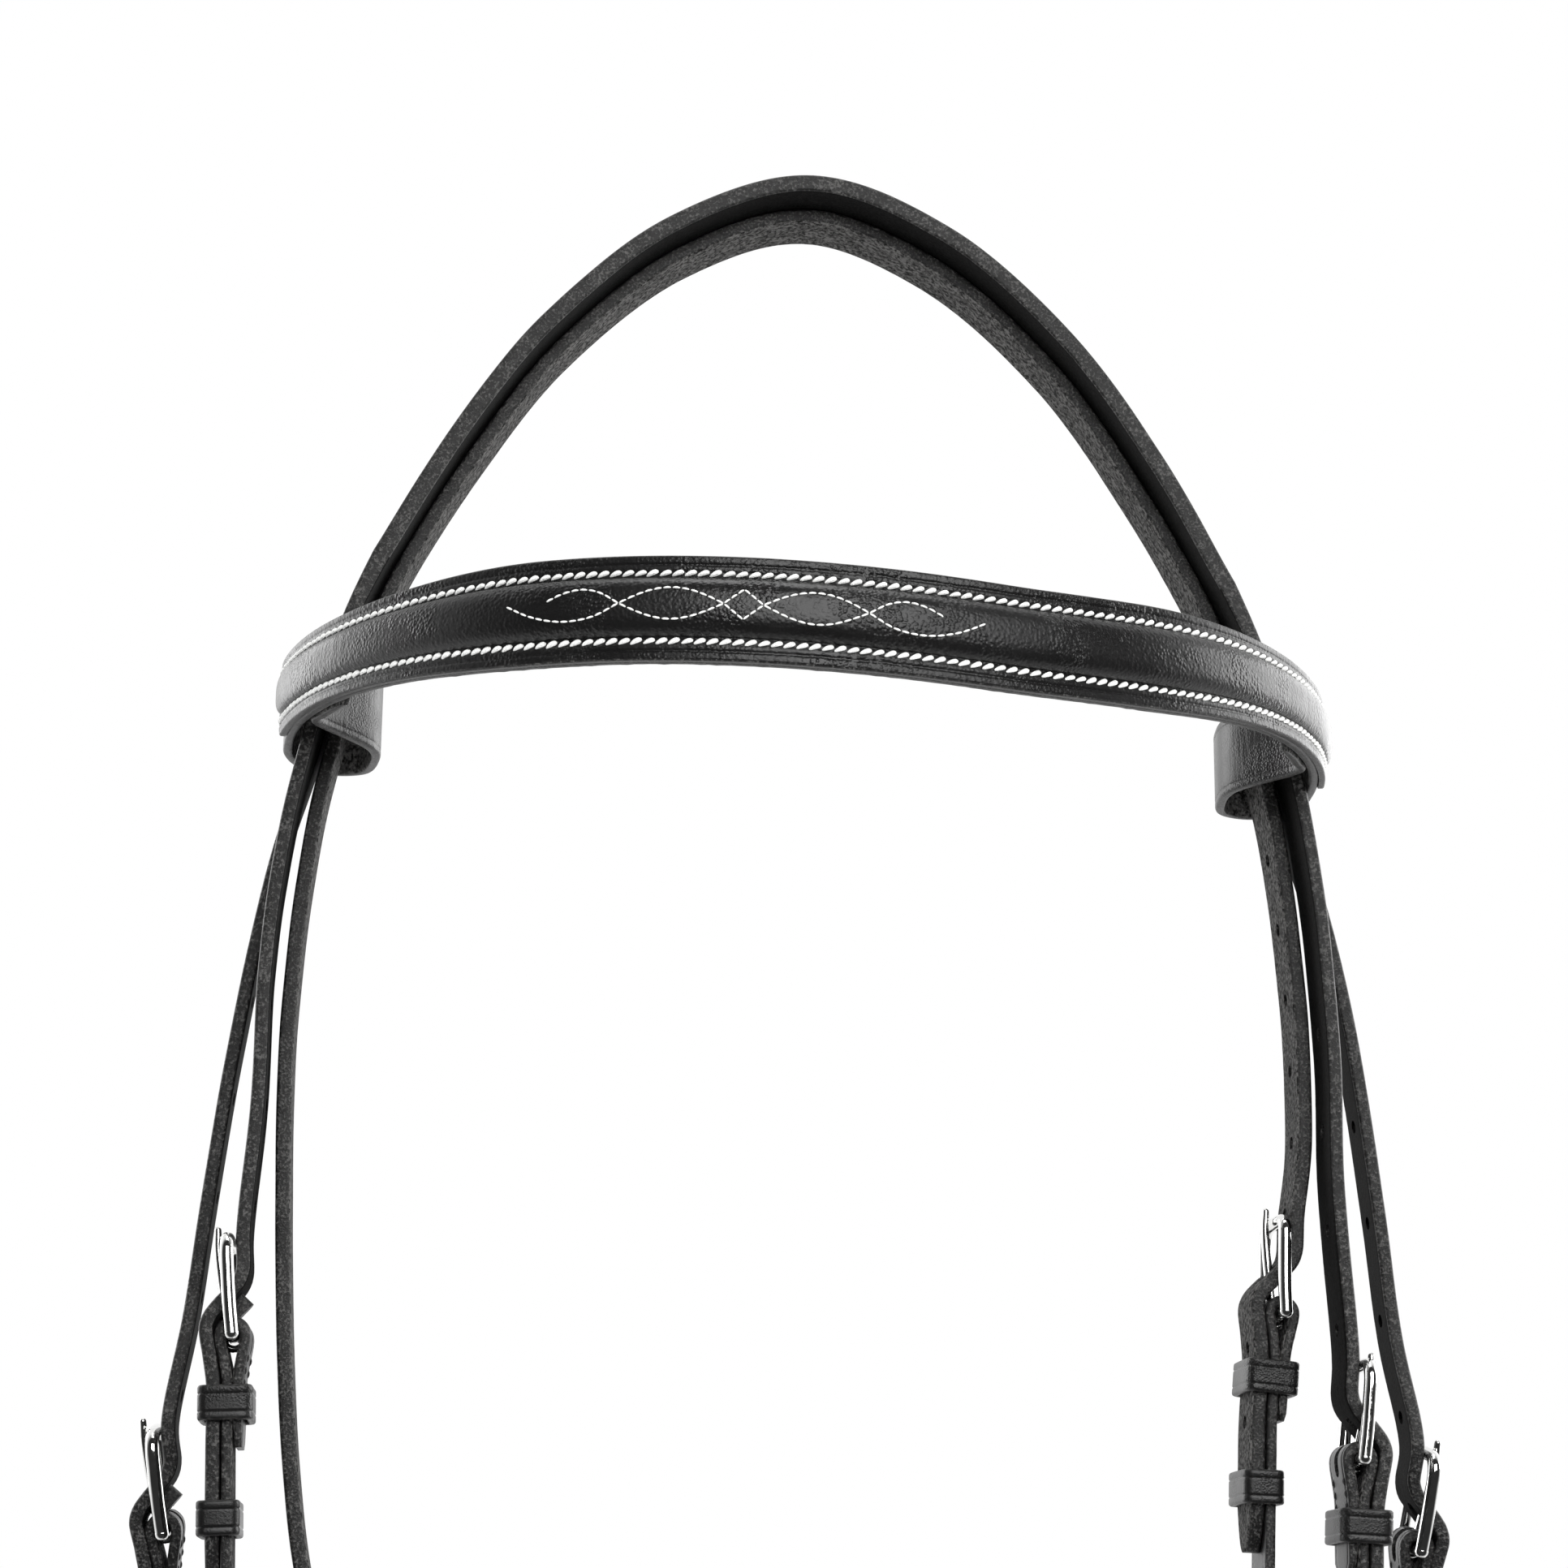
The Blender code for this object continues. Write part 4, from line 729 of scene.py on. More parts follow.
def make_wrinkle_group():
    """Fine upright wrinkles where a band turns round the head's side."""
    tree, given, out = new_group("bend_wrinkles", {"Vector": None}, ["Height"])
    drawn = vectors(tree, "MULTIPLY", given["Vector"], (1.0, 1.0, 0.16))
    lines = noise_value(tree, drawn, 620.0, 3.0, 0.6)
    sides = add(tree, "SeparateXYZ", {"Vector": given["Vector"]}).outputs["X"]
    bend = spread(tree, maths(tree, "ABSOLUTE", sides), WRINKLES_FROM, WRINKLES_TO)
    feed(tree, out, {"Height": maths(tree, "MULTIPLY", lines, bend)})
    return tree


GRAIN = make_grain_group()
WRINKLES = make_wrinkle_group()
FIBRES = make_fibre_group()
CREASES = make_crease_group()


def new_material(name):
    made = bpy.data.materials.new(name)
    made.use_nodes = True
    tree = made.node_tree
    shader = tree.nodes["Principled BSDF"]
    place = tree.nodes.new("ShaderNodeTexCoord").outputs["Object"]
    return made, tree, shader, place


def bump(tree, height, distance):
    return add(tree, "Bump", {"Height": height, "Distance": distance}).outputs["Normal"]


def colour(tree, share, dark, light):
    inputs = {0: share, 6: (*dark, 1), 7: (*light, 1)}
    return add(tree, "Mix", inputs, data_type="RGBA").outputs[2]


def face_leather(name, cells, depth, roughness, least, wrinkled=0.0):
    """The waxed face: near black, pebbled, creased along its edges, lighter at the turn with wear
    and a painted highlight.
    """
    made, tree, shader, place = new_material(name)
    edge = add(tree, "Attribute", attribute_name="edge_distance").outputs["Fac"]
    sockets = {"Vector": place, "Cells": cells, "Patches": 70.0, "Least": least}
    grain = use_group(tree, GRAIN, sockets)
    lines = use_group(tree, CREASES, {"Vector": place, "Edge Distance": edge})
    # Lighter colour near the rounded edge: partly wear, partly a painted highlight.
    wear_and_highlight = maths(tree, "MULTIPLY", lines["Wear And Highlight"], 0.55)
    cloud = noise_value(tree, place, 45.0, 3.0)
    gloss = spread(tree, cloud, 0.3, 0.7, roughness - 0.05, roughness + 0.07)
    dull = plus(tree, gloss, lines["Wear And Highlight"], 0.15)
    wrinkles = use_group(tree, WRINKLES, {"Vector": place})["Height"]
    height = plus(tree, grain["Height"], wrinkles, wrinkled)
    inputs = {
        "Base Color": colour(tree, wear_and_highlight, (0.0062, 0.0060, 0.0060), (0.045, 0.043, 0.041)),
        "Roughness": plus(tree, dull, lines["Crease"], -0.08),
        "Specular IOR Level": 0.5,
        "Normal": bump(tree, height, depth),
    }
    feed(tree, shader, inputs)
    return made


def edge_leather():
    """A cut edge, dyed and rubbed: dark, satin, with light flecks along it, partly rubbed fibres
    and partly painted glints.
    """
    made, tree, shader, place = new_material("dressed_edge")
    fibres = use_group(tree, FIBRES, {"Vector": place, "Size": 1500.0})
    tufts_and_glints = fibres["Tufts And Glints"]
    inputs = {
        # Lighter flecks where the fibres stand: partly rubbed fibres, partly painted glints.
        "Base Color": colour(tree, tufts_and_glints, (0.0055, 0.0053, 0.0051), (0.078, 0.076, 0.073)),
        "Roughness": spread(tree, tufts_and_glints, 0.0, 1.0, 0.36, 0.60),
        "Normal": bump(tree, fibres["Height"], 0.00030),
    }
    feed(tree, shader, inputs)
    return made


def flesh_leather(name, size, dark, light, depth, mirror):
    """The rough inner side: short matted fibres, speckled light and dark: lighter at the high
    fibres, partly their own tone and partly painted light, darker in the hollows with painted
    shade.
    """
    made, tree, shader, place = new_material(name)
    fibres = use_group(tree, FIBRES, {"Vector": place, "Size": size})
    # Lighter at the high fibres, partly their own tone and partly painted light; darker in the
    # hollows with painted shade.
    share = maths(tree, "SUBTRACT", maths(tree, "ADD", fibres["Tufts And Glints"], 0.4), fibres["Hollow Shade"])
    kept = add(tree, "Clamp", {"Value": share}).outputs[0]
    inputs = {
        "Base Color": colour(tree, kept, dark, light),
        "Roughness": 0.8,
        "Specular IOR Level": mirror,
        "Normal": bump(tree, fibres["Height"], depth),
    }
    feed(tree, shader, inputs)
    return made


def thread(name, light, dark, roughness):
    """Waxed linen thread: fine twisted strands, darker between them with painted shade."""
    made, tree, shader, place = new_material(name)
    strands = noise_value(tree, place, 5200.0, 3.0)
    inputs = {
        # Darker where the strands sink: painted shade between them.
        "Base Color": colour(tree, spread(tree, strands, 0.3, 0.6), dark, light),
        "Roughness": roughness,
        "Sheen Weight": 0.2,
        "Normal": bump(tree, strands, 0.00006),
    }
    feed(tree, shader, inputs)
    return made


def steel():
    """Polished stainless steel with the faint haze of handling."""
    made, tree, shader, place = new_material("polished_steel")
    haze = noise_value(tree, place, 320.0, 4.0, 0.6)
    share = spread(tree, haze, 0.35, 0.7)
    inputs = {
        "Base Color": colour(tree, share, (0.78, 0.78, 0.77), (0.86, 0.86, 0.85)),
        "Metallic": 1.0,
        "Roughness": spread(tree, haze, 0.3, 0.75, 0.045, 0.14),
        "Normal": bump(tree, noise_value(tree, place, 900.0, 2.0), 0.000012),
    }
    feed(tree, shader, inputs)
    return made


FACE = face_leather("bridle_leather_face", 1900.0, 0.00008, 0.34, 0.25)
BAND_FACE = face_leather("band_leather_face", 1700.0, 0.00010, 0.31, 0.3, 1.8)
PADDED = face_leather("padded_leather_face", 1150.0, 0.00015, 0.29, 0.34, 1.1)
EDGE = edge_leather()
FLESH = flesh_leather(
    "rough_flesh", 900.0, (0.0070, 0.0068, 0.0066), (0.125, 0.122, 0.118), 0.00055, 0.12
)
DRESSED = flesh_leather(
    "dressed_flesh", 1500.0, (0.003, 0.0029, 0.0029), (0.009, 0.0088, 0.0086), 0.00012, 0.08
)
WHITE_THREAD = thread("white_thread", (0.86, 0.86, 0.84), (0.55, 0.55, 0.53), 0.6)
BLACK_THREAD = thread("black_thread", (0.030, 0.029, 0.028), (0.008, 0.008, 0.008), 0.55)
STEEL = steel()


# Building straps: a grid laid along the path, with its seam joined and its ends closed
FACE_ZONE, EDGE_ZONE, FLESH_ZONE = 0, 1, 2
MERGE = 0.000002
EDGE_SHARE = 0.45
SHARP_ANGLE = math.radians(38)


def arc_out(flat, rise, round_off, steps):
    """The rounded turn from a strap's face to its edge."""
    turns = [math.pi / 2 * (1 - i / steps) for i in range(steps + 1)]
    low = rise - round_off
    return [(flat + round_off * math.cos(t), low + round_off * math.sin(t)) for t in turns]


def rounding(half, rise):
    """How far a strap's edges are rounded off."""
    return min(EDGE_ROUND, rise * 0.8, half * 0.5)


def strap_section(half, rise):
    """Corners round a strap, from the middle of its face by one edge to the flesh side and back."""
    round_off = rounding(half, rise)
    line = max(half - CREASE_IN, half * 0.5)
    right = [(line * share, rise) for share in (0, 0.35, 0.7)]
    for share, deep in CREASE_SHARES:
        right.append((line + share * CREASE_HALF, rise - CREASE_DEPTH * deep))
    arc = arc_out(half - round_off, rise, round_off, EDGE_STEPS)
    right += arc + [(half, 0)] + [(a, -o) for a, o in reversed(arc)]
    right += [(line, -rise), (line * 0.5, -rise), (0, -rise)]
    return right + [(-a, o) for a, o in reversed(right[1:-1])]


def zone_of(a, b, half, rise):
    """Whether the stretch between two corners is face, edge or flesh."""
    if abs(a[0] + b[0]) / 2 > half - rounding(half, rise) * EDGE_SHARE:
        return EDGE_ZONE
    return FACE_ZONE if a[1] + b[1] > 0 else FLESH_ZONE


def lay_grid(bm, path, stations, sections, closed=False):
    """A grid's columns along the path and its rows round the section, drawn on and joined up."""
    rows, columns = len(sections(stations[0])), len(stations)
    distance_layer = bm.verts.layers.float_vector.get("strap_place")
    if distance_layer is None:
        distance_layer = bm.verts.layers.float_vector.new("strap_place")
        bm.verts.layers.float.new("edge_distance")
    edge_layer = bm.verts.layers.float["edge_distance"]
    grid = bmesh.ops.create_grid(bm, x_segments=columns - 1, y_segments=rows, size=1)["verts"]
    drawn = [(path.frame(distance), sections(distance)) for distance in stations]
    faces = {face for vert in grid for face in vert.link_faces}
    middle = drawn[columns // 2][1]
    half, rise = max(a for a, _ in middle), max(o for _, o in middle)
    for face in faces:
        row = math.floor((face.calc_center_median().y + 1) / 2 * rows)
        face.material_index = zone_of(middle[row], middle[(row + 1) % rows], half, rise)
        face.smooth = True
    for vert in grid:
        column = round((vert.co.x + 1) / 2 * (columns - 1))
        row = round((vert.co.y + 1) / 2 * rows) % rows
        place, section = drawn[column]
        across, out = section[row]
        vert[distance_layer] = (stations[column], across, out)
        vert[edge_layer] = max(a for a, _ in section) - abs(across)
        vert.co = place @ Vector((across, out, 0))
    bmesh.ops.remove_doubles(bm, verts=grid, dist=MERGE)
    if not closed:
        ends = [e for e in bm.edges if e.is_boundary]
        for cap in bmesh.ops.holes_fill(bm, edges=ends, sides=0)["faces"]:
            cap.material_index = EDGE_ZONE
    return grid


def new_object(name, data):
    made = bpy.data.objects.new(name, data)
    bpy.context.scene.collection.objects.link(made)
    return made


def mesh_object(bm, name, skins, matrix):
    """A moved mesh with its skins."""
    bmesh.ops.transform(bm, matrix=matrix, verts=bm.verts)
    mesh = bpy.data.meshes.new(name)
    bm.to_mesh(mesh)
    bm.free()
    for skin in skins:
        mesh.materials.append(skin)
    return new_object(name, mesh)


def finish_piece(bm, name, skins, body, node=None):
    """Face a mesh outward, put it in the frame, give it its skins and body, and hide the node it
    stands in for.
    """
    bmesh.ops.recalc_face_normals(bm, faces=bm.faces)
    piece = mesh_object(bm, name, skins, SETTLE)
    piece.data.set_sharp_from_angle(angle=SHARP_ANGLE)
    if node:
        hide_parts(node)
    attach(piece, body)
    return piece


def finish_steel(bm, place, node, body):
    """A polished piece in its place, smooth all round."""
    bmesh.ops.transform(bm, matrix=place, verts=bm.verts)
    for face in bm.faces:
        face.material_index, face.smooth = 0, True
    finish_piece(bm, f"{node}_steel", (STEEL,), body, node)


def cut_with(piece, bm):
    """Cut holes or a slot into a piece for good, with walls that are cut edges."""
    bmesh.ops.recalc_face_normals(bm, faces=bm.faces)
    for face in bm.faces:
        face.material_index, face.smooth = EDGE_ZONE, True
    cutter = mesh_object(bm, "cutter", (FACE, EDGE, FLESH), SETTLE)
    made = piece.modifiers.new("cut", "BOOLEAN")
    made.operation, made.solver, made.object = "DIFFERENCE", "EXACT", cutter
    made.material_mode = "INDEX"
    whole = piece.evaluated_get(bpy.context.evaluated_depsgraph_get())
    mesh = bpy.data.meshes.new_from_object(whole)
    mesh.name = piece.name
    piece.modifiers.clear()
    piece.data = mesh
    mesh.set_sharp_from_angle(angle=SHARP_ANGLE)
    bpy.data.objects.remove(cutter)


def add_hole(bm, place, radius, deep, length=0.0, corners=28):
    """A round hole through a strap, or with a length, one drawn out along it."""
    sizes = {"radius1": radius, "radius2": radius, "depth": deep}
    hole = bmesh.ops.create_cone(bm, cap_ends=True, segments=corners, **sizes)["verts"]
    for vert in hole:
        if length and abs(vert.co.y) > MERGE:
            vert.co.y += math.copysign(length / 2 - radius, vert.co.y)
    turn = Matrix.Rotation(math.pi / 2, 4, "X")
    bmesh.ops.transform(bm, matrix=place @ turn, verts=hole)


def waviness(distance, start, end, seed):
    """A slight rise and fall along a strap, and a slighter one of its width, none at its ends."""
    spot = Vector((distance / WAVE_LENGTH, seed, 0))
    high = WAVE_HEIGHT * min(1.0, (distance - start) / WAVE_LENGTH, (end - distance) / WAVE_LENGTH)
    return noise.noise(spot) * high * 2, noise.noise(spot + Vector((0, 9.1, 0))) * high


def frayed(distance, across, seed):
    """How far a flesh side's rim stands off, in fine rough steps."""
    spot = Vector((distance / FRAY_LENGTH, math.copysign(7, across) + seed, 0))
    return noise.noise(spot) * FRAY_HEIGHT


def leather_strap(
    name, path, shape, node, start=0.0, turned=False, skins=(), body="headpiece", seed=0.0, tip=0.0
):
    """A fine strap along a path: the shape gives its half width and half thickness at a place."""

    def sections(distance):
        here_half, here_rise = shape(distance)
        lift, wider = waviness(distance, start, path.length, seed)
        here_half += wider
        corners = []
        for across, out in strap_section(here_half, here_rise):
            if out < 0 and abs(across) > here_half - CREASE_IN:
                across += math.copysign(frayed(distance, across, seed), across)
            corners.append((across, (out + lift) * (-1 if turned else 1)))
        return corners

    bm = bmesh.new()
    lay_grid(bm, path, path.stations(start, tip=tip), sections)
    if turned:
        # Face and flesh change places
        for face in bm.faces:
            face.material_index = (FLESH_ZONE, EDGE_ZONE, FACE_ZONE)[face.material_index]
    return finish_piece(bm, name, skins or (FACE, EDGE, FLESH), body, node)


def pointed(path, half, rise):
    """A billet's half width and half thickness, narrowed to its rounded tip."""

    def shape(distance):
        left = held((path.length - distance) / TIP_LENGTH)
        return half * (TIP_SHARE * left**0.2 + (1 - TIP_SHARE) * math.sqrt(left)) + MERGE, rise

    return shape


# The straps
def rounded_end(to_end, half):
    """Less width in the last stretch, so that a strap's corners are rounded."""
    left = held(to_end / CORNER_LENGTH)
    return half - CORNER_LENGTH * 0.8 * (1 - math.sqrt(1 - (1 - left) ** 2))


def skived(rise, to_end):
    """A strap's half thickness, pared down towards its end."""
    return rise * (SKIVE_SHARE + (1 - SKIVE_SHARE) * min(1.0, to_end / SKIVE_LENGTH))


def layered(half, path, pared, squared):
    """Two stitched layers closed up, thinned at one end, with its corners rounded."""

    def shape(distance):
        ends = {True: distance, False: path.length - distance}
        rise = LAYER_THICK / 2 + CLOSED_GAP
        for from_start in pared:
            rise = skived(rise, ends[from_start])
        return min(rounded_end(ends[from_start], half) for from_start in squared), rise

    return shape


def crown_middle(kind):
    """Where a billet's middle lies across the crownpiece's end."""
    half = CROWN_END_WIDTH / 2
    return CHEEK_WIDTH / 2 - half if kind == "cheek" else half - THROAT_WIDTH / 2


def billet_path(arch, side, kind, buckle):
    """A billet's line, begun a little up the arch so that it leaves it straight on."""
    shares = CHEEK_SHARES if kind == "cheek" else THROAT_SHARES
    forward = CHEEK_FORWARD if kind == "cheek" else THROAT_FORWARD
    bar_drop = CHEEK_BAR_DROP[side] if kind == "cheek" else THROAT_BAR_DROP
    wider = 0 if kind == "cheek" else THROAT_WIDER[side]
    middle = Vector((crown_middle(kind), 0, 0))
    inner = CROWN_TAPER / 2
    ends = (inner, 0.0) if side == "off" else (arch.length - inner, arch.length)
    points = [arch.frame(distance) @ middle for distance in ends]
    for half_share, drop_share in shares:
        half_width = HEAD_HALF_WIDTH * half_share - BILLET_THICK / 2
        half_width += wider * held((drop_share - 1) / THROAT_SPREAD_SHARE)
        points.append(side_point(side, half_width, drop_at(drop_share, bar_drop), forward))
    path = Path(points + buckle.billet(), (0, SIDES[side], 0))
    return path, path.nearest(points[1])


def punch(piece, path, buckle, steps, pitch):
    """Round holes, at steps from the drawn-out one that the tongue is in."""
    bm = bmesh.new()
    deep = buckle.billet_thick * 3
    working = path.nearest(buckle.tongue_point(WORKING_HOLE_RISE))
    for step in steps:
        if step:
            add_hole(bm, path.frame(working + pitch * step), HOLE_RADIUS, deep)
    add_hole(bm, path.frame(working), WORKING_HOLE_WIDTH / 2, deep, WORKING_HOLE_LENGTH, 32)
    cut_with(piece, bm)


def slot_for_tongue(piece, buckle):
    """The slot in a fold that the tongue comes out of."""
    deep = (buckle.wrap + LAYER_THICK) * 2
    low = -(BAR_RADIUS + FIT + TONGUE_EYE_WALL + TONGUE_SLOT_SIDE_GAP)
    high = buckle.wrap * 2
    place = buckle.frame @ Matrix.Translation((0, 0, (low + high) / 2))
    bm = bmesh.new()
    add_hole(bm, place, TONGUE_RADIUS + TONGUE_SLOT_SIDE_GAP, deep, high - low, 32)
    cut_with(piece, bm)


def make_crownpiece():
    """The arch over the poll and its four punched billets."""
    arch = Path(arch_points(CROWN_THICK / 2), (0, 1, 0))
    middle = arch.length / 2

    def widened(distance):
        share = abs(distance - middle) / middle
        wider = 1 + (CROWN_WIDTH / CROWN_END_WIDTH - 1) * (1 - share**2)
        return CROWN_END_WIDTH / 2 * wider, CROWN_THICK / 2

    skins = (FACE, EDGE, DRESSED)
    leather_strap("crownpiece_arch", arch, widened, "crownpiece", skins=skins)
    for (kind, side), buckle in buckles.items():
        if kind in ("nose", "jaw"):
            continue
        path, start = billet_path(arch, side, kind, buckle)
        width = CHEEK_WIDTH if kind == "cheek" else THROAT_WIDTH
        tip = pointed(path, width / 2, BILLET_THICK / 2)

        def shape(distance, tip=tip, start=start):
            share = held((distance - start) / CROWN_TAPER)
            half, rise = tip(distance)
            return half, rise + (CROWN_THICK - BILLET_THICK) / 2 * (1 - share)

        piece = leather_strap(
            f"{side}_{kind}_billet", path, shape, "crownpiece", start, skins=skins,
            seed=width * 900 * SIDES[side], tip=TIP_LENGTH,
        )
        above = THROAT_HOLES_ABOVE if kind == "throat" else CHEEK_HOLES_ABOVE[side]
        punch(piece, path, buckle, range(-above, HOLES_BELOW + 1), HOLE_PITCH)


def make_headstrap():
    shape = pointed(head_path, HEADSTRAP_WIDTH / 2, HEADSTRAP_THICK / 2)
    name = "noseband_headstrap"
    piece = leather_strap(f"{name}_leather", head_path, shape, name, seed=3.0, tip=TIP_LENGTH)
    steps = range(-NOSE_HOLES_ABOVE, HOLES_BELOW + 1)
    punch(piece, head_path, buckles["nose", "near"], steps, NOSE_HOLE_PITCH)


def make_cheekpiece(side):
    """From the chape at the buckle down to the fold that holds the bit ring."""
    sign, buckle = SIDES[side], buckles["cheek", side]
    low = side_point(side, BIT_FOLD_HALF_WIDTH, BIT_FOLD_DROP, CHEEK_FORWARD)
    top = buckle.at(buckle.layer, -CHAPE_RETURN)
    seat = BIT_SEAT_RADIUS + LAYER_THICK / 2
    end = Buckle(f"{side}_bit_end", low, top - low, (sign, 0, 0), CHEEK_WIDTH)
    knots = buckle.chape()
    knots += [top.lerp(end.at(buckle.layer, BIT_RETURN), share) for share in CHEEK_KNOT_SHARES]
    settled = BIT_KEEPER_RISE - KEEPER_HEIGHT / 2
    rises = [settled + (BIT_RETURN - settled) * share for share in LAYER_SHARES]
    knots += [end.at(buckle.layer, rise) for rise in reversed(rises)]
    for step in range(BIT_TURN_STEPS + 1):
        turn = math.radians(BIT_TURN_FROM - step * BIT_TURN / BIT_TURN_STEPS)
        knots.append(end.at(seat * math.cos(turn), seat * math.sin(turn)))
    knots += [end.at(-buckle.layer, rise) for rise in rises]
    path = Path(knots, (0, sign, 0))
    buckle.carry(path)
    piece = leather_strap(
        f"{side}_cheekpiece_leather", path, layered(CHEEK_WIDTH / 2, path, (True,), (True, False)),
        f"{side}_cheekpiece", seed=5.0 * sign,
    )
    slot_for_tongue(piece, buckle)
    place = end.frame @ Matrix.Translation((0, 0, STUD_RISE))
    bm = bmesh.new()
    add_hole(bm, place, HOLE_RADIUS, (buckle.layer + LAYER_THICK) * 3)
    cut_with(piece, bm)
    make_stud(side, place)
    face = buckle.layer + LAYER_THICK / 2
    low_place = end.frame @ Matrix.Translation((0, 0, BIT_KEEPER_RISE))
    make_keeper(f"{side}_bit_end_keeper", low_place, -face, face, CHEEK_WIDTH, "headpiece")
    sew_chape(f"{side}_cheekpiece_seams", path, buckle, CHEEK_WIDTH / 2, 1)


def make_stud(side, place):
    """A hook stud turned in one piece: flat head outside, neck, domed button inside."""
    face = (LAYER_THICK + STITCHED_GAP) / 2 + LAYER_THICK / 2 + FIT
    head, neck, button = STUD_BUTTON_RADIUS * STUD_HEAD_SHARE, STUD_NECK_RADIUS, STUD_BUTTON_RADIUS
    profile = [(head * a, face + neck * b) for a, b in STUD_HEAD_SHARES]
    profile += [(neck, face), (neck, -face)]
    profile += [(button * a, -face - button * b) for a, b in STUD_BUTTON_SHARES]
    bm = bmesh.new()
    corners = [bm.verts.new((0, out, r)) for r, out in profile]
    edges = [bm.edges.new(pair) for pair in zip(corners, corners[1:])]
    whole = {"angle": math.tau, "steps": 40, "use_merge": True}
    bmesh.ops.spin(bm, geom=corners + edges, axis=(0, 1, 0), cent=(0, 0, 0), **whole)
    bmesh.ops.remove_doubles(bm, verts=bm.verts, dist=MERGE * 5)
    finish_steel(bm, place, f"{side}_hook_stud", "headpiece")


def make_noseband():
    """The near-side hanger, the ring strap with its jaw billet, and the padded front."""
    nose, jaw = buckles["nose", "near"], buckles["jaw", "near"]
    hanger = leather_strap(
        "noseband_hanger_leather", hanger_path,
        layered(HEADSTRAP_WIDTH / 2, hanger_path, (True,), (True,)), "noseband_hanger", seed=8.0,
        turned=True,
    )
    slot_for_tongue(hanger, nose)
    sew_chape("noseband_hanger_seams", hanger_path, nose, HEADSTRAP_WIDTH / 2, -1)
    knots = jaw.chape()
    first = JAW_BUCKLE_TURN + JAW_CHAPE_TURN * JAW_CHAPE_SHARE
    last = math.tau + JAW_BUCKLE_TURN - BUCKLE_REACH * JAW_BILLET_SHARE / NOSE_HALF_WIDTH
    spots = [first + (last - first) * i / NOSE_KNOTS for i in range(NOSE_KNOTS + 1)]
    knots += [nose_point(turn) for turn in spots]
    jaw.carry(Path(knots, (0, 0, 1)))
    path = Path(knots + jaw.billet(), (0, 0, 1))
    start = jaw.bar_place + BILLET_TAIL + NOSE_WIDTH / 8
    end = path.nearest(nose_point(NOSE_WIDE_END))
    tip = pointed(path, NOSE_STRAP_WIDTH / 2, LAYER_THICK / 2)

    def ring(distance):
        share = held(min(distance - start, end - distance) / NOSE_STRAP_WIDTH)
        half, rise = tip(distance)
        half *= 1 + (NOSE_WIDTH / NOSE_STRAP_WIDTH - 1) * eased(share)
        return half, skived(rise, distance)

    piece = leather_strap(
        "noseband_strap_leather", path, ring, "noseband_strap", seed=11.0, turned=True,
        tip=TIP_LENGTH,
    )
    slot_for_tongue(piece, jaw)
    punch(piece, path, jaw, range(2, -4, -1), NOSE_HOLE_PITCH)
    sew_chape("noseband_strap_seams", path, jaw, NOSE_STRAP_WIDTH / 2, -1)
    turns = (NOSE_FRONT_START, math.pi - NOSE_FRONT_START)
    ends = [path.nearest(nose_point(turn)) for turn in turns]
    make_front("noseband", path, ends, NOSE_WIDTH, LAYER_THICK, "headpiece")


def make_throatlatch():
    """A strap under the throat with a chape at each end."""
    near, off = buckles["throat", "near"], buckles["throat", "off"]
    knots = near.chape() + [throat_spot("near", *shares) for shares in THROATLATCH_SHARES]
    knots += [throat_spot("off", *shares) for shares in reversed(THROATLATCH_SHARES[:-1])]
    near_across, off_across = -near.frame.col[0].xyz, off.frame.col[0].xyz

    def across(share):
        at_end = near_across if share < 0.5 else off_across
        return at_end.lerp(Vector((0, 1, 0)), min(1.0, min(share, 1 - share) / THROAT_TURN_SHARE))

    path = Path(knots + list(reversed(off.chape())), across)
    near.carry(path)
    off.carry(path)
    shape = layered(THROAT_WIDTH / 2, path, (True, False), (True, False))
    piece = leather_strap("throatlatch_leather", path, shape, "throatlatch", seed=14.0)
    for buckle in (near, off):
        slot_for_tongue(piece, buckle)
        sew_chape(f"{buckle.name}_seams", path, buckle, THROAT_WIDTH / 2, 1)


def make_browband():
    """The backing with its folded loops, and the padded front along its face."""
    turns = [math.pi * (i + 0.5) / BROW_KNOTS for i in range(BROW_KNOTS)]
    knots = brow_loop("near") + [brow_point(turn) for turn in turns]
    path = Path(knots + brow_loop("off")[::-1], (0, 0, 1))

    def shape(distance):
        to_end = min(distance, path.length - distance)
        half = BROW_WIDTH / 2 * brow_narrowing(path, distance)
        return rounded_end(to_end, half), skived(BROW_BACKING / 2, to_end)

    leather_strap(
        "browband_backing_leather", path, shape, "browband_backing", seed=17.0, turned=True,
        skins=(BAND_FACE, EDGE, FLESH), body="browband",
    )
    ends = [path.nearest(brow_point(turn)) for turn in (RAISED_START, math.pi - RAISED_START)]
    make_front("browband", path, ends, BROW_WIDTH, BROW_BACKING, "browband")
    bm = bmesh.new()
    rise, tab = BROW_BACKING / 2, CHAPE_RETURN * TAB_SEAM_SHARE
    end_half = BROW_WIDTH / 2 * BROW_END_SHARE
    for across in (SEAM_IN - end_half, end_half - SEAM_IN):
        sew_row(bm, path, SEAM_IN, tab, across, -rise)
        sew_row(bm, path, path.length - tab, path.length - SEAM_IN, across, -rise)
    finish_piece(bm, "browband_tab_seams", (BLACK_THREAD,), "browband")


# The padded fronts
FRONT_SHARES = (0, 0.14, 0.28, 0.42, 0.55, 0.66, 0.76, 0.84, 0.9, 0.945, 0.975, 0.993, 1)
# How square the padding is across its crown and at its shoulders, and how blunt its tips are
PAD_CROWN, PAD_SHOULDER, PAD_NOSE = 3.2, 0.6, 2.4
PAD_TIP_SHARE = 0.35
FLANGE_CREASE_SHARE = 1.3


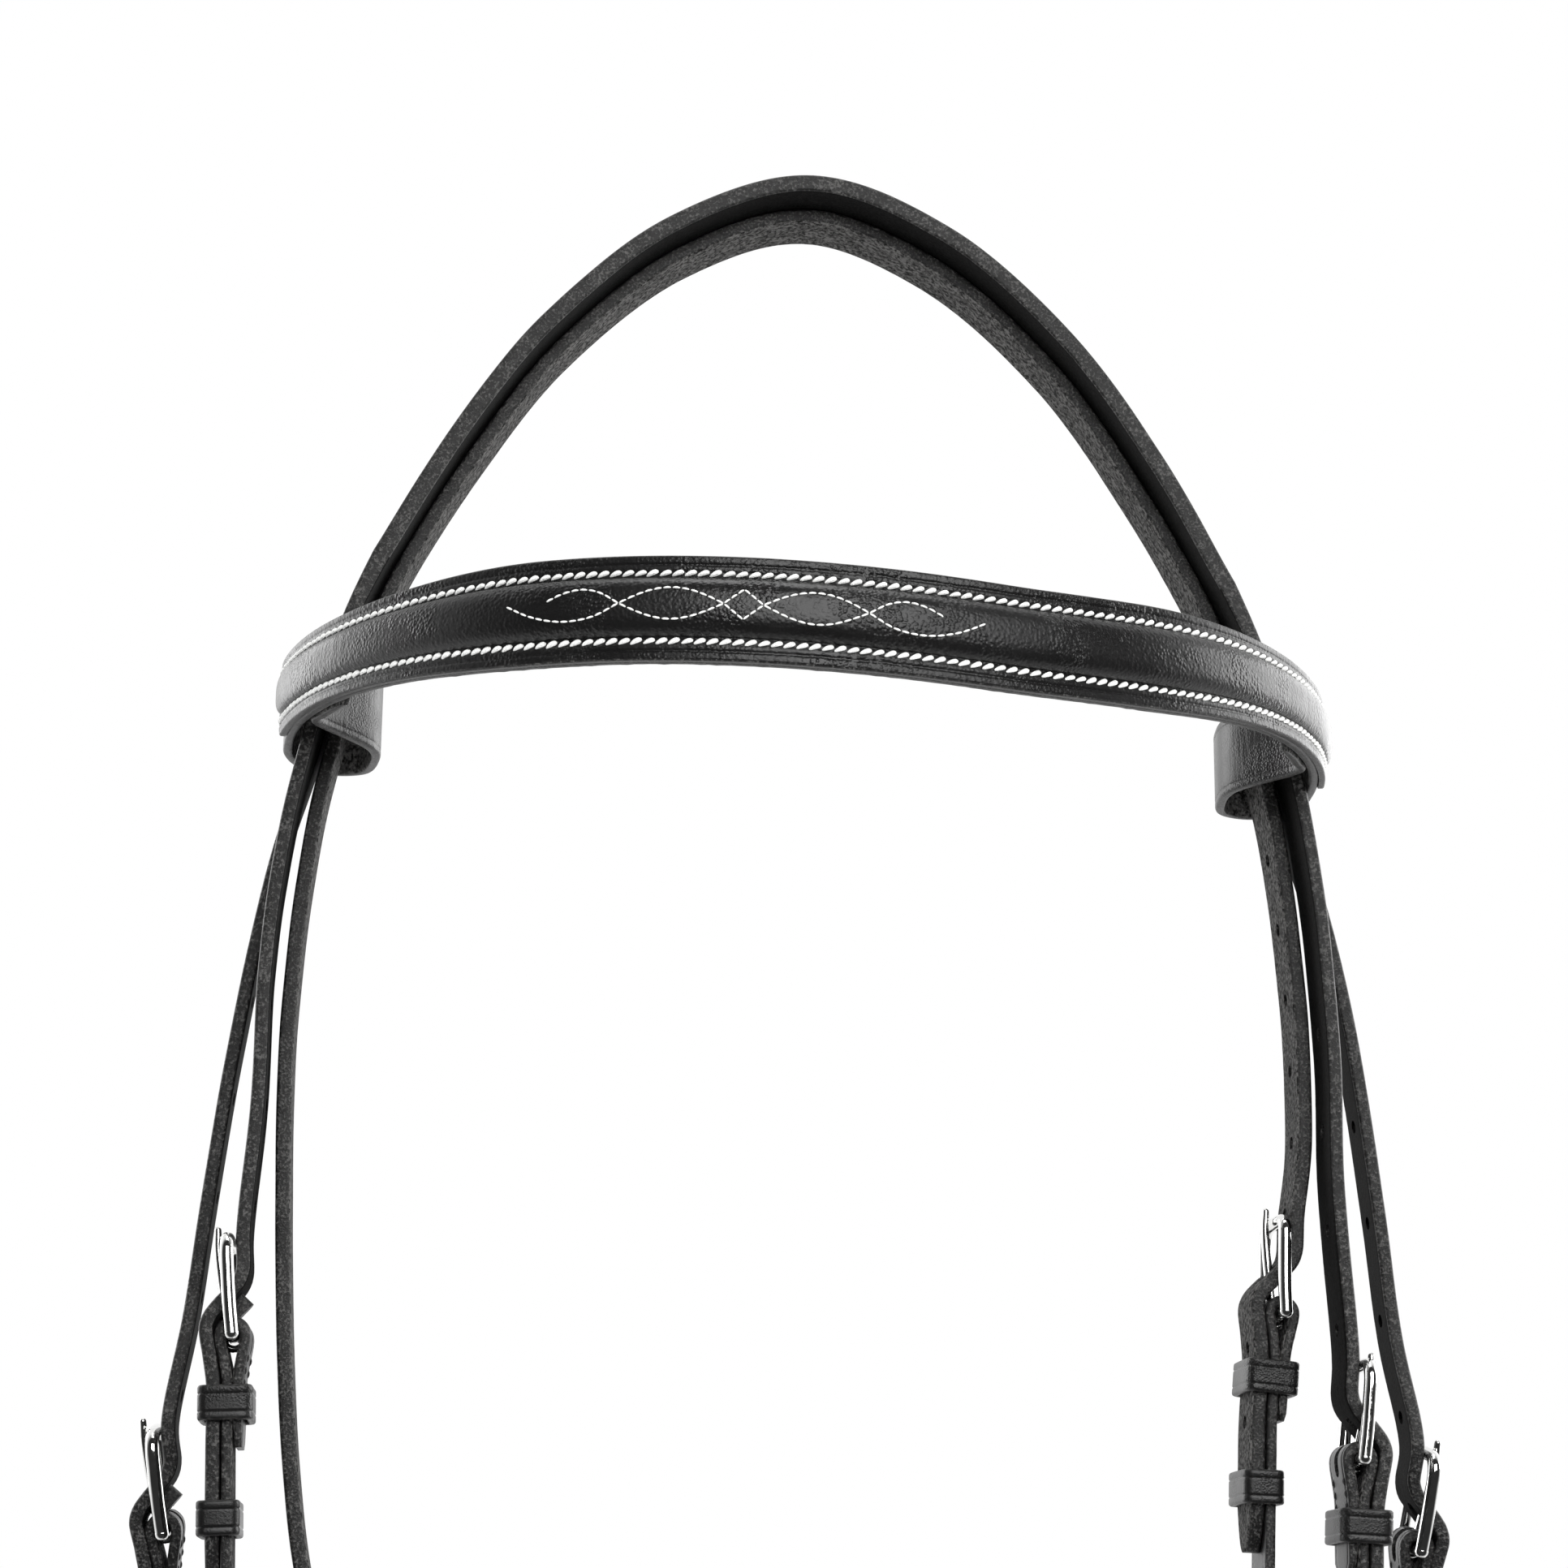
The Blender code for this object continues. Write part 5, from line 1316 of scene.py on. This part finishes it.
def front_height(across, pad, full):
    """How far the padded middle stands above the flat cover, across it."""
    share = abs(across) / pad
    height = RAISED_HEIGHT * full * (1 - min(1.0, share) ** PAD_CROWN) ** PAD_SHOULDER
    rope = (abs(across) - ROPE_ACROSS) / ROPE_GROOVE_HALF
    line = (abs(across) - FLANGE_CREASE_ACROSS) / CREASE_HALF
    height -= ROPE_GROOVE_DEPTH * math.exp(-rope * rope)
    return height - CREASE_DEPTH * FLANGE_CREASE_SHARE * math.exp(-line * line)


class Front:
    """The padded leather along the front of a strap."""

    def __init__(self, path, ends, width, backing):
        self.path, self.width, self.backing = path, width, backing
        self.narrowing = brow_narrowing if width == BROW_WIDTH and backing == BROW_BACKING else None
        self.start, self.end = min(ends), max(ends)
        self.flat = backing / 2 + FIT + BROW_COVER

    def fill(self, distance):
        """How wide and how full the padding is, rounded off towards both ends."""
        inside = held(min(distance - self.start, self.end - distance) / RAISED_WIDTH)
        nose = math.sqrt(1 - (1 - inside) ** PAD_NOSE)
        full = RAISED_END_SHARE + (1 - RAISED_END_SHARE) * nose
        half = RAISED_WIDTH / 2 * (PAD_TIP_SHARE + (1 - PAD_TIP_SHARE) * nose)
        return half, full * self.share(distance) ** 2

    def surface(self, distance, across):
        """A place on the face and the way it faces, in the path's own turned frame."""
        pad, full = self.fill(distance)
        place = self.path.frame(distance)
        step = CREASE_HALF / 4
        slope = front_height(across + step, pad, full) - front_height(across - step, pad, full)
        out = -(self.flat + front_height(across, pad, full))
        facing = place.to_3x3() @ Vector((-slope / (2 * step), -1, 0))
        return place @ Vector((across * self.share(distance), out, 0)), facing.normalized()

    def share(self, distance):
        return self.narrowing(self.path, distance) if self.narrowing else 1.0

    def sections(self, distance):
        """Corners round the front: crowned middle, rope groove, crease, rounded edge, flat back."""
        pad, full = self.fill(distance)
        half = rounded_end(min(distance - self.start, self.end - distance), self.width / 2)
        base, top = self.backing / 2 + MERGE * 5, self.flat
        lift = noise.noise(Vector((distance / WAVE_LENGTH, self.width * 900, 0))) * WAVE_HEIGHT
        spots = [share * pad for share in FRONT_SHARES]
        spots += [pad + (RAISED_WIDTH / 2 + ROPE_GROOVE_HALF - pad) * share for share in (0.3, 0.7)]
        spots += [ROPE_ACROSS + ROPE_GROOVE_HALF * step / 2 for step in range(-1, 5)]
        spots += [FLANGE_CREASE_ACROSS + CREASE_HALF * step / 2 for step in range(-4, 5)]
        narrow = half * 2 / self.width
        right = [(a * narrow, top + lift + front_height(a, pad, full)) for a in spots]
        round_off = BROW_COVER * 0.45
        arc = arc_out(half - round_off, top + lift, round_off, EDGE_STEPS)
        right += arc + [(half, base), (half * 0.6, base), (0, base)]
        whole = right + [(-a, o) for a, o in reversed(right[1:-1])]
        share = self.share(distance)
        return [(a * share, -o) for a, o in whole]


def make_front(name, path, ends, width, backing, body):
    """A padded front with its rope-like rows and the fancy pattern in the middle."""
    front = Front(path, ends, width, backing)
    bm = bmesh.new()
    lay_grid(bm, path, path.stations(front.start, front.end), front.sections)
    place, rim = bm.verts.layers.float_vector["strap_place"], width / 2 - BROW_COVER * 0.3
    for face in bm.faces:
        at_rim = min(abs(vert[place].y) / front.share(vert[place].x) for vert in face.verts) > rim
        face.material_index = int(at_rim or face.material_index == EDGE_ZONE)
    piece = finish_piece(
        bm, f"{name}_padded_front", (PADDED, EDGE), body, f"{name}_raised_front"
    )
    bm = bmesh.new()
    for across in (-ROPE_ACROSS, ROPE_ACROSS):
        sew_rope(bm, front, across)
    finish_piece(bm, f"{name}_rope_stitches", (WHITE_THREAD,), body)
    bm = bmesh.new()
    sew_fancy(bm, front, FANCY_SHIFT[name])
    finish_piece(bm, f"{name}_fancy_stitches", (WHITE_THREAD,), body)


# Thread
def add_stitch(bm, a, b, facing, thick, sink, lift, fat=0.0):
    """One stitch from hole to hole: a rounded grain of thread whose ends go into the leather."""
    along = b - a
    length = along.length
    along.normalize()
    side = facing.cross(along).normalized()
    place = Matrix.Translation((a + b) / 2) @ turned_to(side, facing, along)
    for vert in bmesh.ops.create_uvsphere(bm, u_segments=8, v_segments=7, radius=1)["verts"]:
        x, y, z = vert.co
        ring = math.hypot(x, y)
        body = (1 - abs(z) ** STITCH_BLUNT) ** 0.5 / max(ring, MERGE) if ring > MERGE * 50 else 0
        body *= 1 + fat * z
        rise = y * body * thick / 2 - sink * z * z + lift
        vert.co = place @ Vector((x * body * thick / 2, rise, z * length / 2))


def sew_rope(bm, front, across):
    """Fat slanting stitches, each rising over the end of the next, like a laid rope."""
    run = ROPE_LENGTH / 2 * math.cos(ROPE_TILT)
    rise = ROPE_LENGTH / 2 * math.sin(ROPE_TILT)
    distance = front.start + ROPE_PITCH
    while distance < front.end - ROPE_PITCH:
        uneven = noise.noise(Vector((distance * UNEVEN_SCALE, across * UNEVEN_SCALE, 0)))
        here = distance + uneven * ROPE_PITCH * UNEVEN_PLACE
        lean = rise * (1 + uneven * UNEVEN_LEAN)
        a, facing = front.surface(here + run, across - lean)
        b, _ = front.surface(here - run, across + lean)
        thick = ROPE_THICK * (1 + uneven * UNEVEN_THICK)
        sink, lift = ROPE_THICK * ROPE_SINK, ROPE_THICK * ROPE_LIFT
        add_stitch(bm, a, b, facing, thick, sink, lift, ROPE_FAT)
        distance += ROPE_PITCH


def fancy_lines():
    """The pattern's lines for one end, along and across from the front's middle."""
    lens = []
    for i in range(LENS_STEPS + 1):
        along = LENS_START + (LENS_END - LENS_START) * i / LENS_STEPS
        lens.append((along, LENS_HALF * math.sin(math.pi * i / LENS_STEPS)))
    flipped = [[(x, -y) for x, y in line] for line in (DIAMOND_SPOTS, lens)]
    return [DIAMOND_SPOTS, lens, SHORT_TAIL_SPOTS, *flipped, LONG_TAIL_SPOTS]


def sew_fancy(bm, front, shift):
    """Fine running stitches along the pattern, mirrored to both ends of the middle."""
    middle, lift = (front.start + front.end) / 2 + shift, FANCY_THICK * FANCY_LIFT_SHARE
    for way in (-1, 1):
        for line in fancy_lines():
            drawn = Path([(x, y, 0) for x, y in line], (0, 0, 1))
            count = max(1, round(drawn.length / FANCY_PITCH))
            for k in range(count):
                holes = [drawn.length * (k + share) / count for share in FANCY_HOLE_SHARES]
                spots = [drawn.frame(hole).translation for hole in holes]
                (a, facing), (b, _) = [front.surface(middle + way * p.x, p.y) for p in spots]
                add_stitch(bm, a, b, facing, FANCY_THICK, FANCY_SINK, lift)


def sew_row(bm, path, start, end, across, out):
    """A plain row along a strap at a height out of its middle."""
    sink, lift = SEAM_THICK * SEAM_SINK_SHARE, SEAM_THICK * SEAM_LIFT_SHARE
    for k in range(max(1, int((end - start) / SEAM_PITCH))):
        near = start + k * SEAM_PITCH
        a, b = [path.frame(hole) @ Vector((across, out, 0)) for hole in (near, near + SEAM_LENGTH)]
        facing = path.frame(near).col[1].xyz * math.copysign(1, out)
        add_stitch(bm, a, b, facing, SEAM_THICK, sink, lift)


def sew_chape(name, path, buckle, half, sign):
    """Both rows through a folded strap end, on its outer and its inner face."""
    bm = bmesh.new()
    out = sign * (LAYER_THICK / 2 + CLOSED_GAP)
    neck = buckle.wrap * CHAPE_NECK_SHARE
    for across in (SEAM_IN - half, half - SEAM_IN):
        for low, high in ((-CHAPE_RETURN, -neck), (neck, CHAPE_RETURN)):
            places = sorted(buckle.bar_place + buckle.heading * d for d in (low, high))
            sew_row(bm, path, places[0] + SEAM_IN / 2, places[1], across, out)
    finish_piece(bm, name, (BLACK_THREAD,), "headpiece")


# Keepers and buckles
def loop_path(half_across, half_out, corner, middle):
    """A closed rounded oblong round the layers of a strap, begun at its back."""
    knots = [Vector((0, -half_out, 0))]
    corners = ((1, -1, -90), (1, 1, 0), (-1, 1, 90), (-1, -1, 180))
    for x, y, turn in corners:
        middle_spot = Vector((x * (half_across - corner), y * (half_out - corner), 0))
        for step in range(5):
            angle = math.radians(turn + step * 22.5)
            knots.append(middle_spot + Vector((math.cos(angle), math.sin(angle), 0)) * corner)
    knots.append(knots[0].copy())
    return Path([knot + Vector((0, middle, 0)) for knot in knots], (0, 0, 1), closed=True)


def make_keeper(name, place, low, high, width, body):
    """A leather loop round the layers from low to high out of the strap."""
    half_across = width / 2 + FIT + KEEPER_WALL / 2
    half_out = (high - low) / 2 + FIT + KEEPER_WALL / 2
    path = loop_path(half_across, half_out, KEEPER_CORNER * KEEPER_CORNER_SHARE, (high + low) / 2)
    bm = bmesh.new()
    section = strap_section(KEEPER_HEIGHT / 2, KEEPER_WALL / 2)
    lay_grid(bm, path, path.stations(), lambda distance: section, closed=True)
    bmesh.ops.transform(bm, matrix=place, verts=bm.verts)
    finish_piece(bm, f"{name}_leather", (FACE, EDGE, FLESH), body, name)


def wire_section(radius, flat=1.0):
    turns = [math.tau * i / WIRE_CORNERS for i in range(WIRE_CORNERS)]
    return [(radius * math.cos(t), radius * flat * math.sin(t)) for t in turns]


def make_frame(buckle):
    """The bent wire frame, notched where the tongue rests, on its straight bar."""
    path = Path(buckle.rail_knots(), Vector((0, 1, 0)))
    half = buckle.width / 2 + BUCKLE_SIDE_GAP + RAIL_RADIUS
    bm = bmesh.new()

    def rail(distance):
        spot = path.frame(distance).translation
        notch = NOTCH_DEPTH * math.exp(-((spot.x / NOTCH_HALF) ** 2)) * (spot.z > BUCKLE_REACH / 2)
        section = wire_section(RAIL_RADIUS)
        return [(a - notch * max(0.0, a / RAIL_RADIUS) ** 2, o) for a, o in section]

    lay_grid(bm, path, path.stations(), rail)
    bar = Path([Vector((x * half, 0, 0)) for x in (-1, 0, 1)], (0, 1, 0))
    lay_grid(bm, bar, bar.stations(), lambda distance: wire_section(BAR_RADIUS))
    for x in (-half, half):
        foot = Matrix.Translation((x, 0, 0))
        ball = {"u_segments": 20, "v_segments": 14, "radius": RAIL_RADIUS * RAIL_FOOT_SHARE}
        bmesh.ops.create_uvsphere(bm, matrix=foot, **ball)
    finish_steel(bm, buckle.frame, f"{buckle.name}_frame", "headpiece")


def make_tongue(buckle):
    """The eye round the bar and the tapered shank that droops into the notch."""
    radius = BAR_RADIUS + FIT + TONGUE_EYE_WALL / 2
    turns = [math.tau * i / 24 for i in range(25)]
    ring = [Vector((0, -math.cos(t), math.sin(t))) * radius for t in turns]
    eye = Path(ring, (1, 0, 0), closed=True)
    bm = bmesh.new()
    wide = TONGUE_RADIUS * TONGUE_WIDE_SHARE
    flat = TONGUE_EYE_WALL / 2 / wide
    lay_grid(bm, eye, eye.stations(), lambda distance: wire_section(wide, flat), closed=True)
    low, high = buckle.tongue_line()
    spots = []
    for share, sag in TONGUE_DROOP_SHARES:
        spots.append(low.lerp(high, share) - Vector((0, TONGUE_DROOP * sag, 0)))
    line = Path(spots, (1, 0, 0))

    def shank(distance):
        share = distance / line.length
        here = wide * (1 - (1 - TONGUE_END_SHARE) * share * share)
        left = min(1.0, (line.length - distance) / (TONGUE_RADIUS * TONGUE_END_SHARE))
        here *= math.sqrt(max(0.0, 1 - (1 - left) ** 2)) if left < 1 else 1
        return wire_section(max(here, MERGE * 3), TONGUE_FLAT_SHARE)

    lay_grid(bm, line, line.stations(tip=TONGUE_RADIUS * 2), shank)
    node = f"{buckle.name}_tongue"
    finish_steel(bm, buckle.frame, node, node)


def dress(buckle):
    """The frame, the tongue and both keepers of a buckle."""
    make_frame(buckle)
    make_tongue(buckle)
    low, high = -LAYER_THICK / 2, buckle.billet_low - buckle.layer + buckle.billet_thick / 2
    place, node = buckle.lay(FIXED_KEEPER_DROP), f"{buckle.name}_fixed_keeper"
    make_keeper(node, place, low - buckle.layer * 2, high, buckle.width, "headpiece")
    place, node = buckle.lay(RUNNING_KEEPER_DROP), f"{buckle.name}_running_keeper"
    make_keeper(node, place, low, high, buckle.width, node)


# The whole bridle
buckles = place_buckles()
nose_buckle = buckles["nose", "near"]
nose_top = nose_buckle.at(nose_buckle.layer, -CHAPE_RETURN)
hanger_path = Path(nose_buckle.chape() + hang_points("near", nose_top, LAYER_THICK), (0, 1, 0))
nose_buckle.carry(hanger_path)
head_path, SETTLE = headstrap_path(buckles)
for side in SIDES:
    make_cheekpiece(side)
make_noseband()
make_throatlatch()
make_crownpiece()
make_headstrap()
make_browband()
for buckle in buckles.values():
    dress(buckle)


# Camera, matched to the photograph
PHOTO_PX = 1932
FOCAL_PX = 4252
CAMERA_PLACE = (-0.0828, -0.8772, -0.3919)
CAMERA_PITCH = math.radians(14.97)
CAMERA_YAW = math.radians(5.11)
CAMERA_ROLL = math.radians(0.57)


def place_camera():
    yaw, pitch, roll = CAMERA_YAW, CAMERA_PITCH, CAMERA_ROLL
    right = Vector((math.cos(yaw), -math.sin(yaw), 0))
    level = Vector((math.sin(yaw), math.cos(yaw), 0))
    ahead = level * math.cos(pitch) + Vector((0, 0, math.sin(pitch)))
    up = right.cross(ahead)
    x_axis = right * math.cos(roll) + up * math.sin(roll)
    y_axis = up * math.cos(roll) - right * math.sin(roll)
    data = bpy.data.cameras.new("camera")
    data.sensor_width = 36
    data.lens = 36 * FOCAL_PX / PHOTO_PX
    data.clip_start, data.clip_end = 0.05, 20
    camera = new_object("camera", data)
    camera.matrix_world = Matrix.Translation(CAMERA_PLACE) @ turned_to(x_axis, y_axis, -ahead)
    bpy.context.scene.camera = camera


# Studio: soft lights, a pale floor, white behind and a darker room before the bridle
FLOOR_Z = -0.5005
FLOOR_HALF = 3.0
# The floor shows the bridle's shadow near it, and turns to plain white between these distances
FLOOR_NEAR, FLOOR_FAR = 0.55, 0.90
MIDDLE = Vector((0, 0, -0.25))
# Each light's place, width and height, power, and whether polished faces mirror it
LIGHTS = (
    ("key", (-0.9, -1.5, 0.8), (0.9, 0.9), 14.0, False),
    ("fill", (1.6, -0.9, 0.2), (1.0, 1.0), 10.0, False),
    ("front", (0.40, -2.1, 0.55), (1.9, 1.3), 33.0, True),
    ("left_rim", (-1.5, 1.3, 0.25), (1.4, 1.4), 14.0, True),
    ("right_rim", (1.5, 1.3, 0.25), (1.4, 1.4), 16.0, True),
    ("right_side", (1.7, 0.15, 0.3), (0.8, 1.0), 9.0, True),
    ("top", (0, -0.1, 1.4), (0.9, 0.9), 6.0, True),
)
ROOM_LIGHT = 0.45
ROOM_FRONT = 0.03


def place_lights():
    for name, place, size, power, mirrored in LIGHTS:
        data = bpy.data.lights.new(name, "AREA")
        data.shape = "RECTANGLE"
        data.size, data.size_y = size
        data.energy = power
        lamp = new_object(name, data)
        lamp.location = place
        lamp.visible_glossy = mirrored
        lamp.rotation_euler = (MIDDLE - Vector(place)).to_track_quat("-Z", "Y").to_euler()


def lay_floor():
    bm = bmesh.new()
    bmesh.ops.create_grid(bm, x_segments=1, y_segments=1, size=FLOOR_HALF)
    skin, tree, shader, place = new_material("pale_floor")
    feed(tree, shader, {"Base Color": (0.86, 0.86, 0.86, 1), "Roughness": 0.8})
    away = add(tree, "VectorMath", {0: place}, operation="LENGTH").outputs["Value"]
    seen = add(tree, "LightPath").outputs["Is Camera Ray"]
    share = maths(tree, "MULTIPLY", seen, spread(tree, away, FLOOR_NEAR, FLOOR_FAR))
    white = add(tree, "Emission", {"Color": (1, 1, 1, 1), "Strength": 1.0})
    both = add(tree, "MixShader", {0: share, 1: shader.outputs[0], 2: white.outputs[0]})
    # Seen from below, it isn't in the way
    under = maths(tree, "MULTIPLY", seen, add(tree, "NewGeometry").outputs["Backfacing"])
    clear = add(tree, "BsdfTransparent")
    shown = add(tree, "MixShader", {0: under, 1: both.outputs[0], 2: clear.outputs[0]})
    feed(tree, tree.nodes["Material Output"], {"Surface": shown.outputs[0]})
    floor = mesh_object(bm, "floor", (skin,), Matrix.Translation((0, 0, FLOOR_Z)))
    floor.visible_glossy = False


def make_world():
    world = bpy.data.worlds.new("studio")
    world.use_nodes = True
    tree = world.node_tree
    tree.nodes.clear()
    seen = add(tree, "LightPath").outputs
    way = add(tree, "SeparateXYZ", {"Vector": add(tree, "TexCoord").outputs["Generated"]}).outputs
    behind = spread(tree, way["Y"], -0.45, 0.25, ROOM_FRONT, 1.0)
    shown = maths(tree, "MAXIMUM", seen["Is Camera Ray"], behind)
    looked = maths(tree, "MAXIMUM", seen["Is Camera Ray"], seen["Is Glossy Ray"])
    looked = maths(tree, "MAXIMUM", looked, seen["Is Transmission Ray"])
    room = add(tree, "Background", {"Color": (0.92, 0.94, 0.97, 1), "Strength": ROOM_LIGHT})
    white = add(tree, "Background", {"Color": (1, 1, 1, 1), "Strength": shown})
    both = add(tree, "MixShader", {0: looked, 1: room.outputs[0], 2: white.outputs[0]})
    add(tree, "OutputWorld", {"Surface": both.outputs[0]})
    bpy.context.scene.world = world


place_camera()
place_lights()
lay_floor()
make_world()
bpy.context.scene.view_settings.view_transform = "Standard"
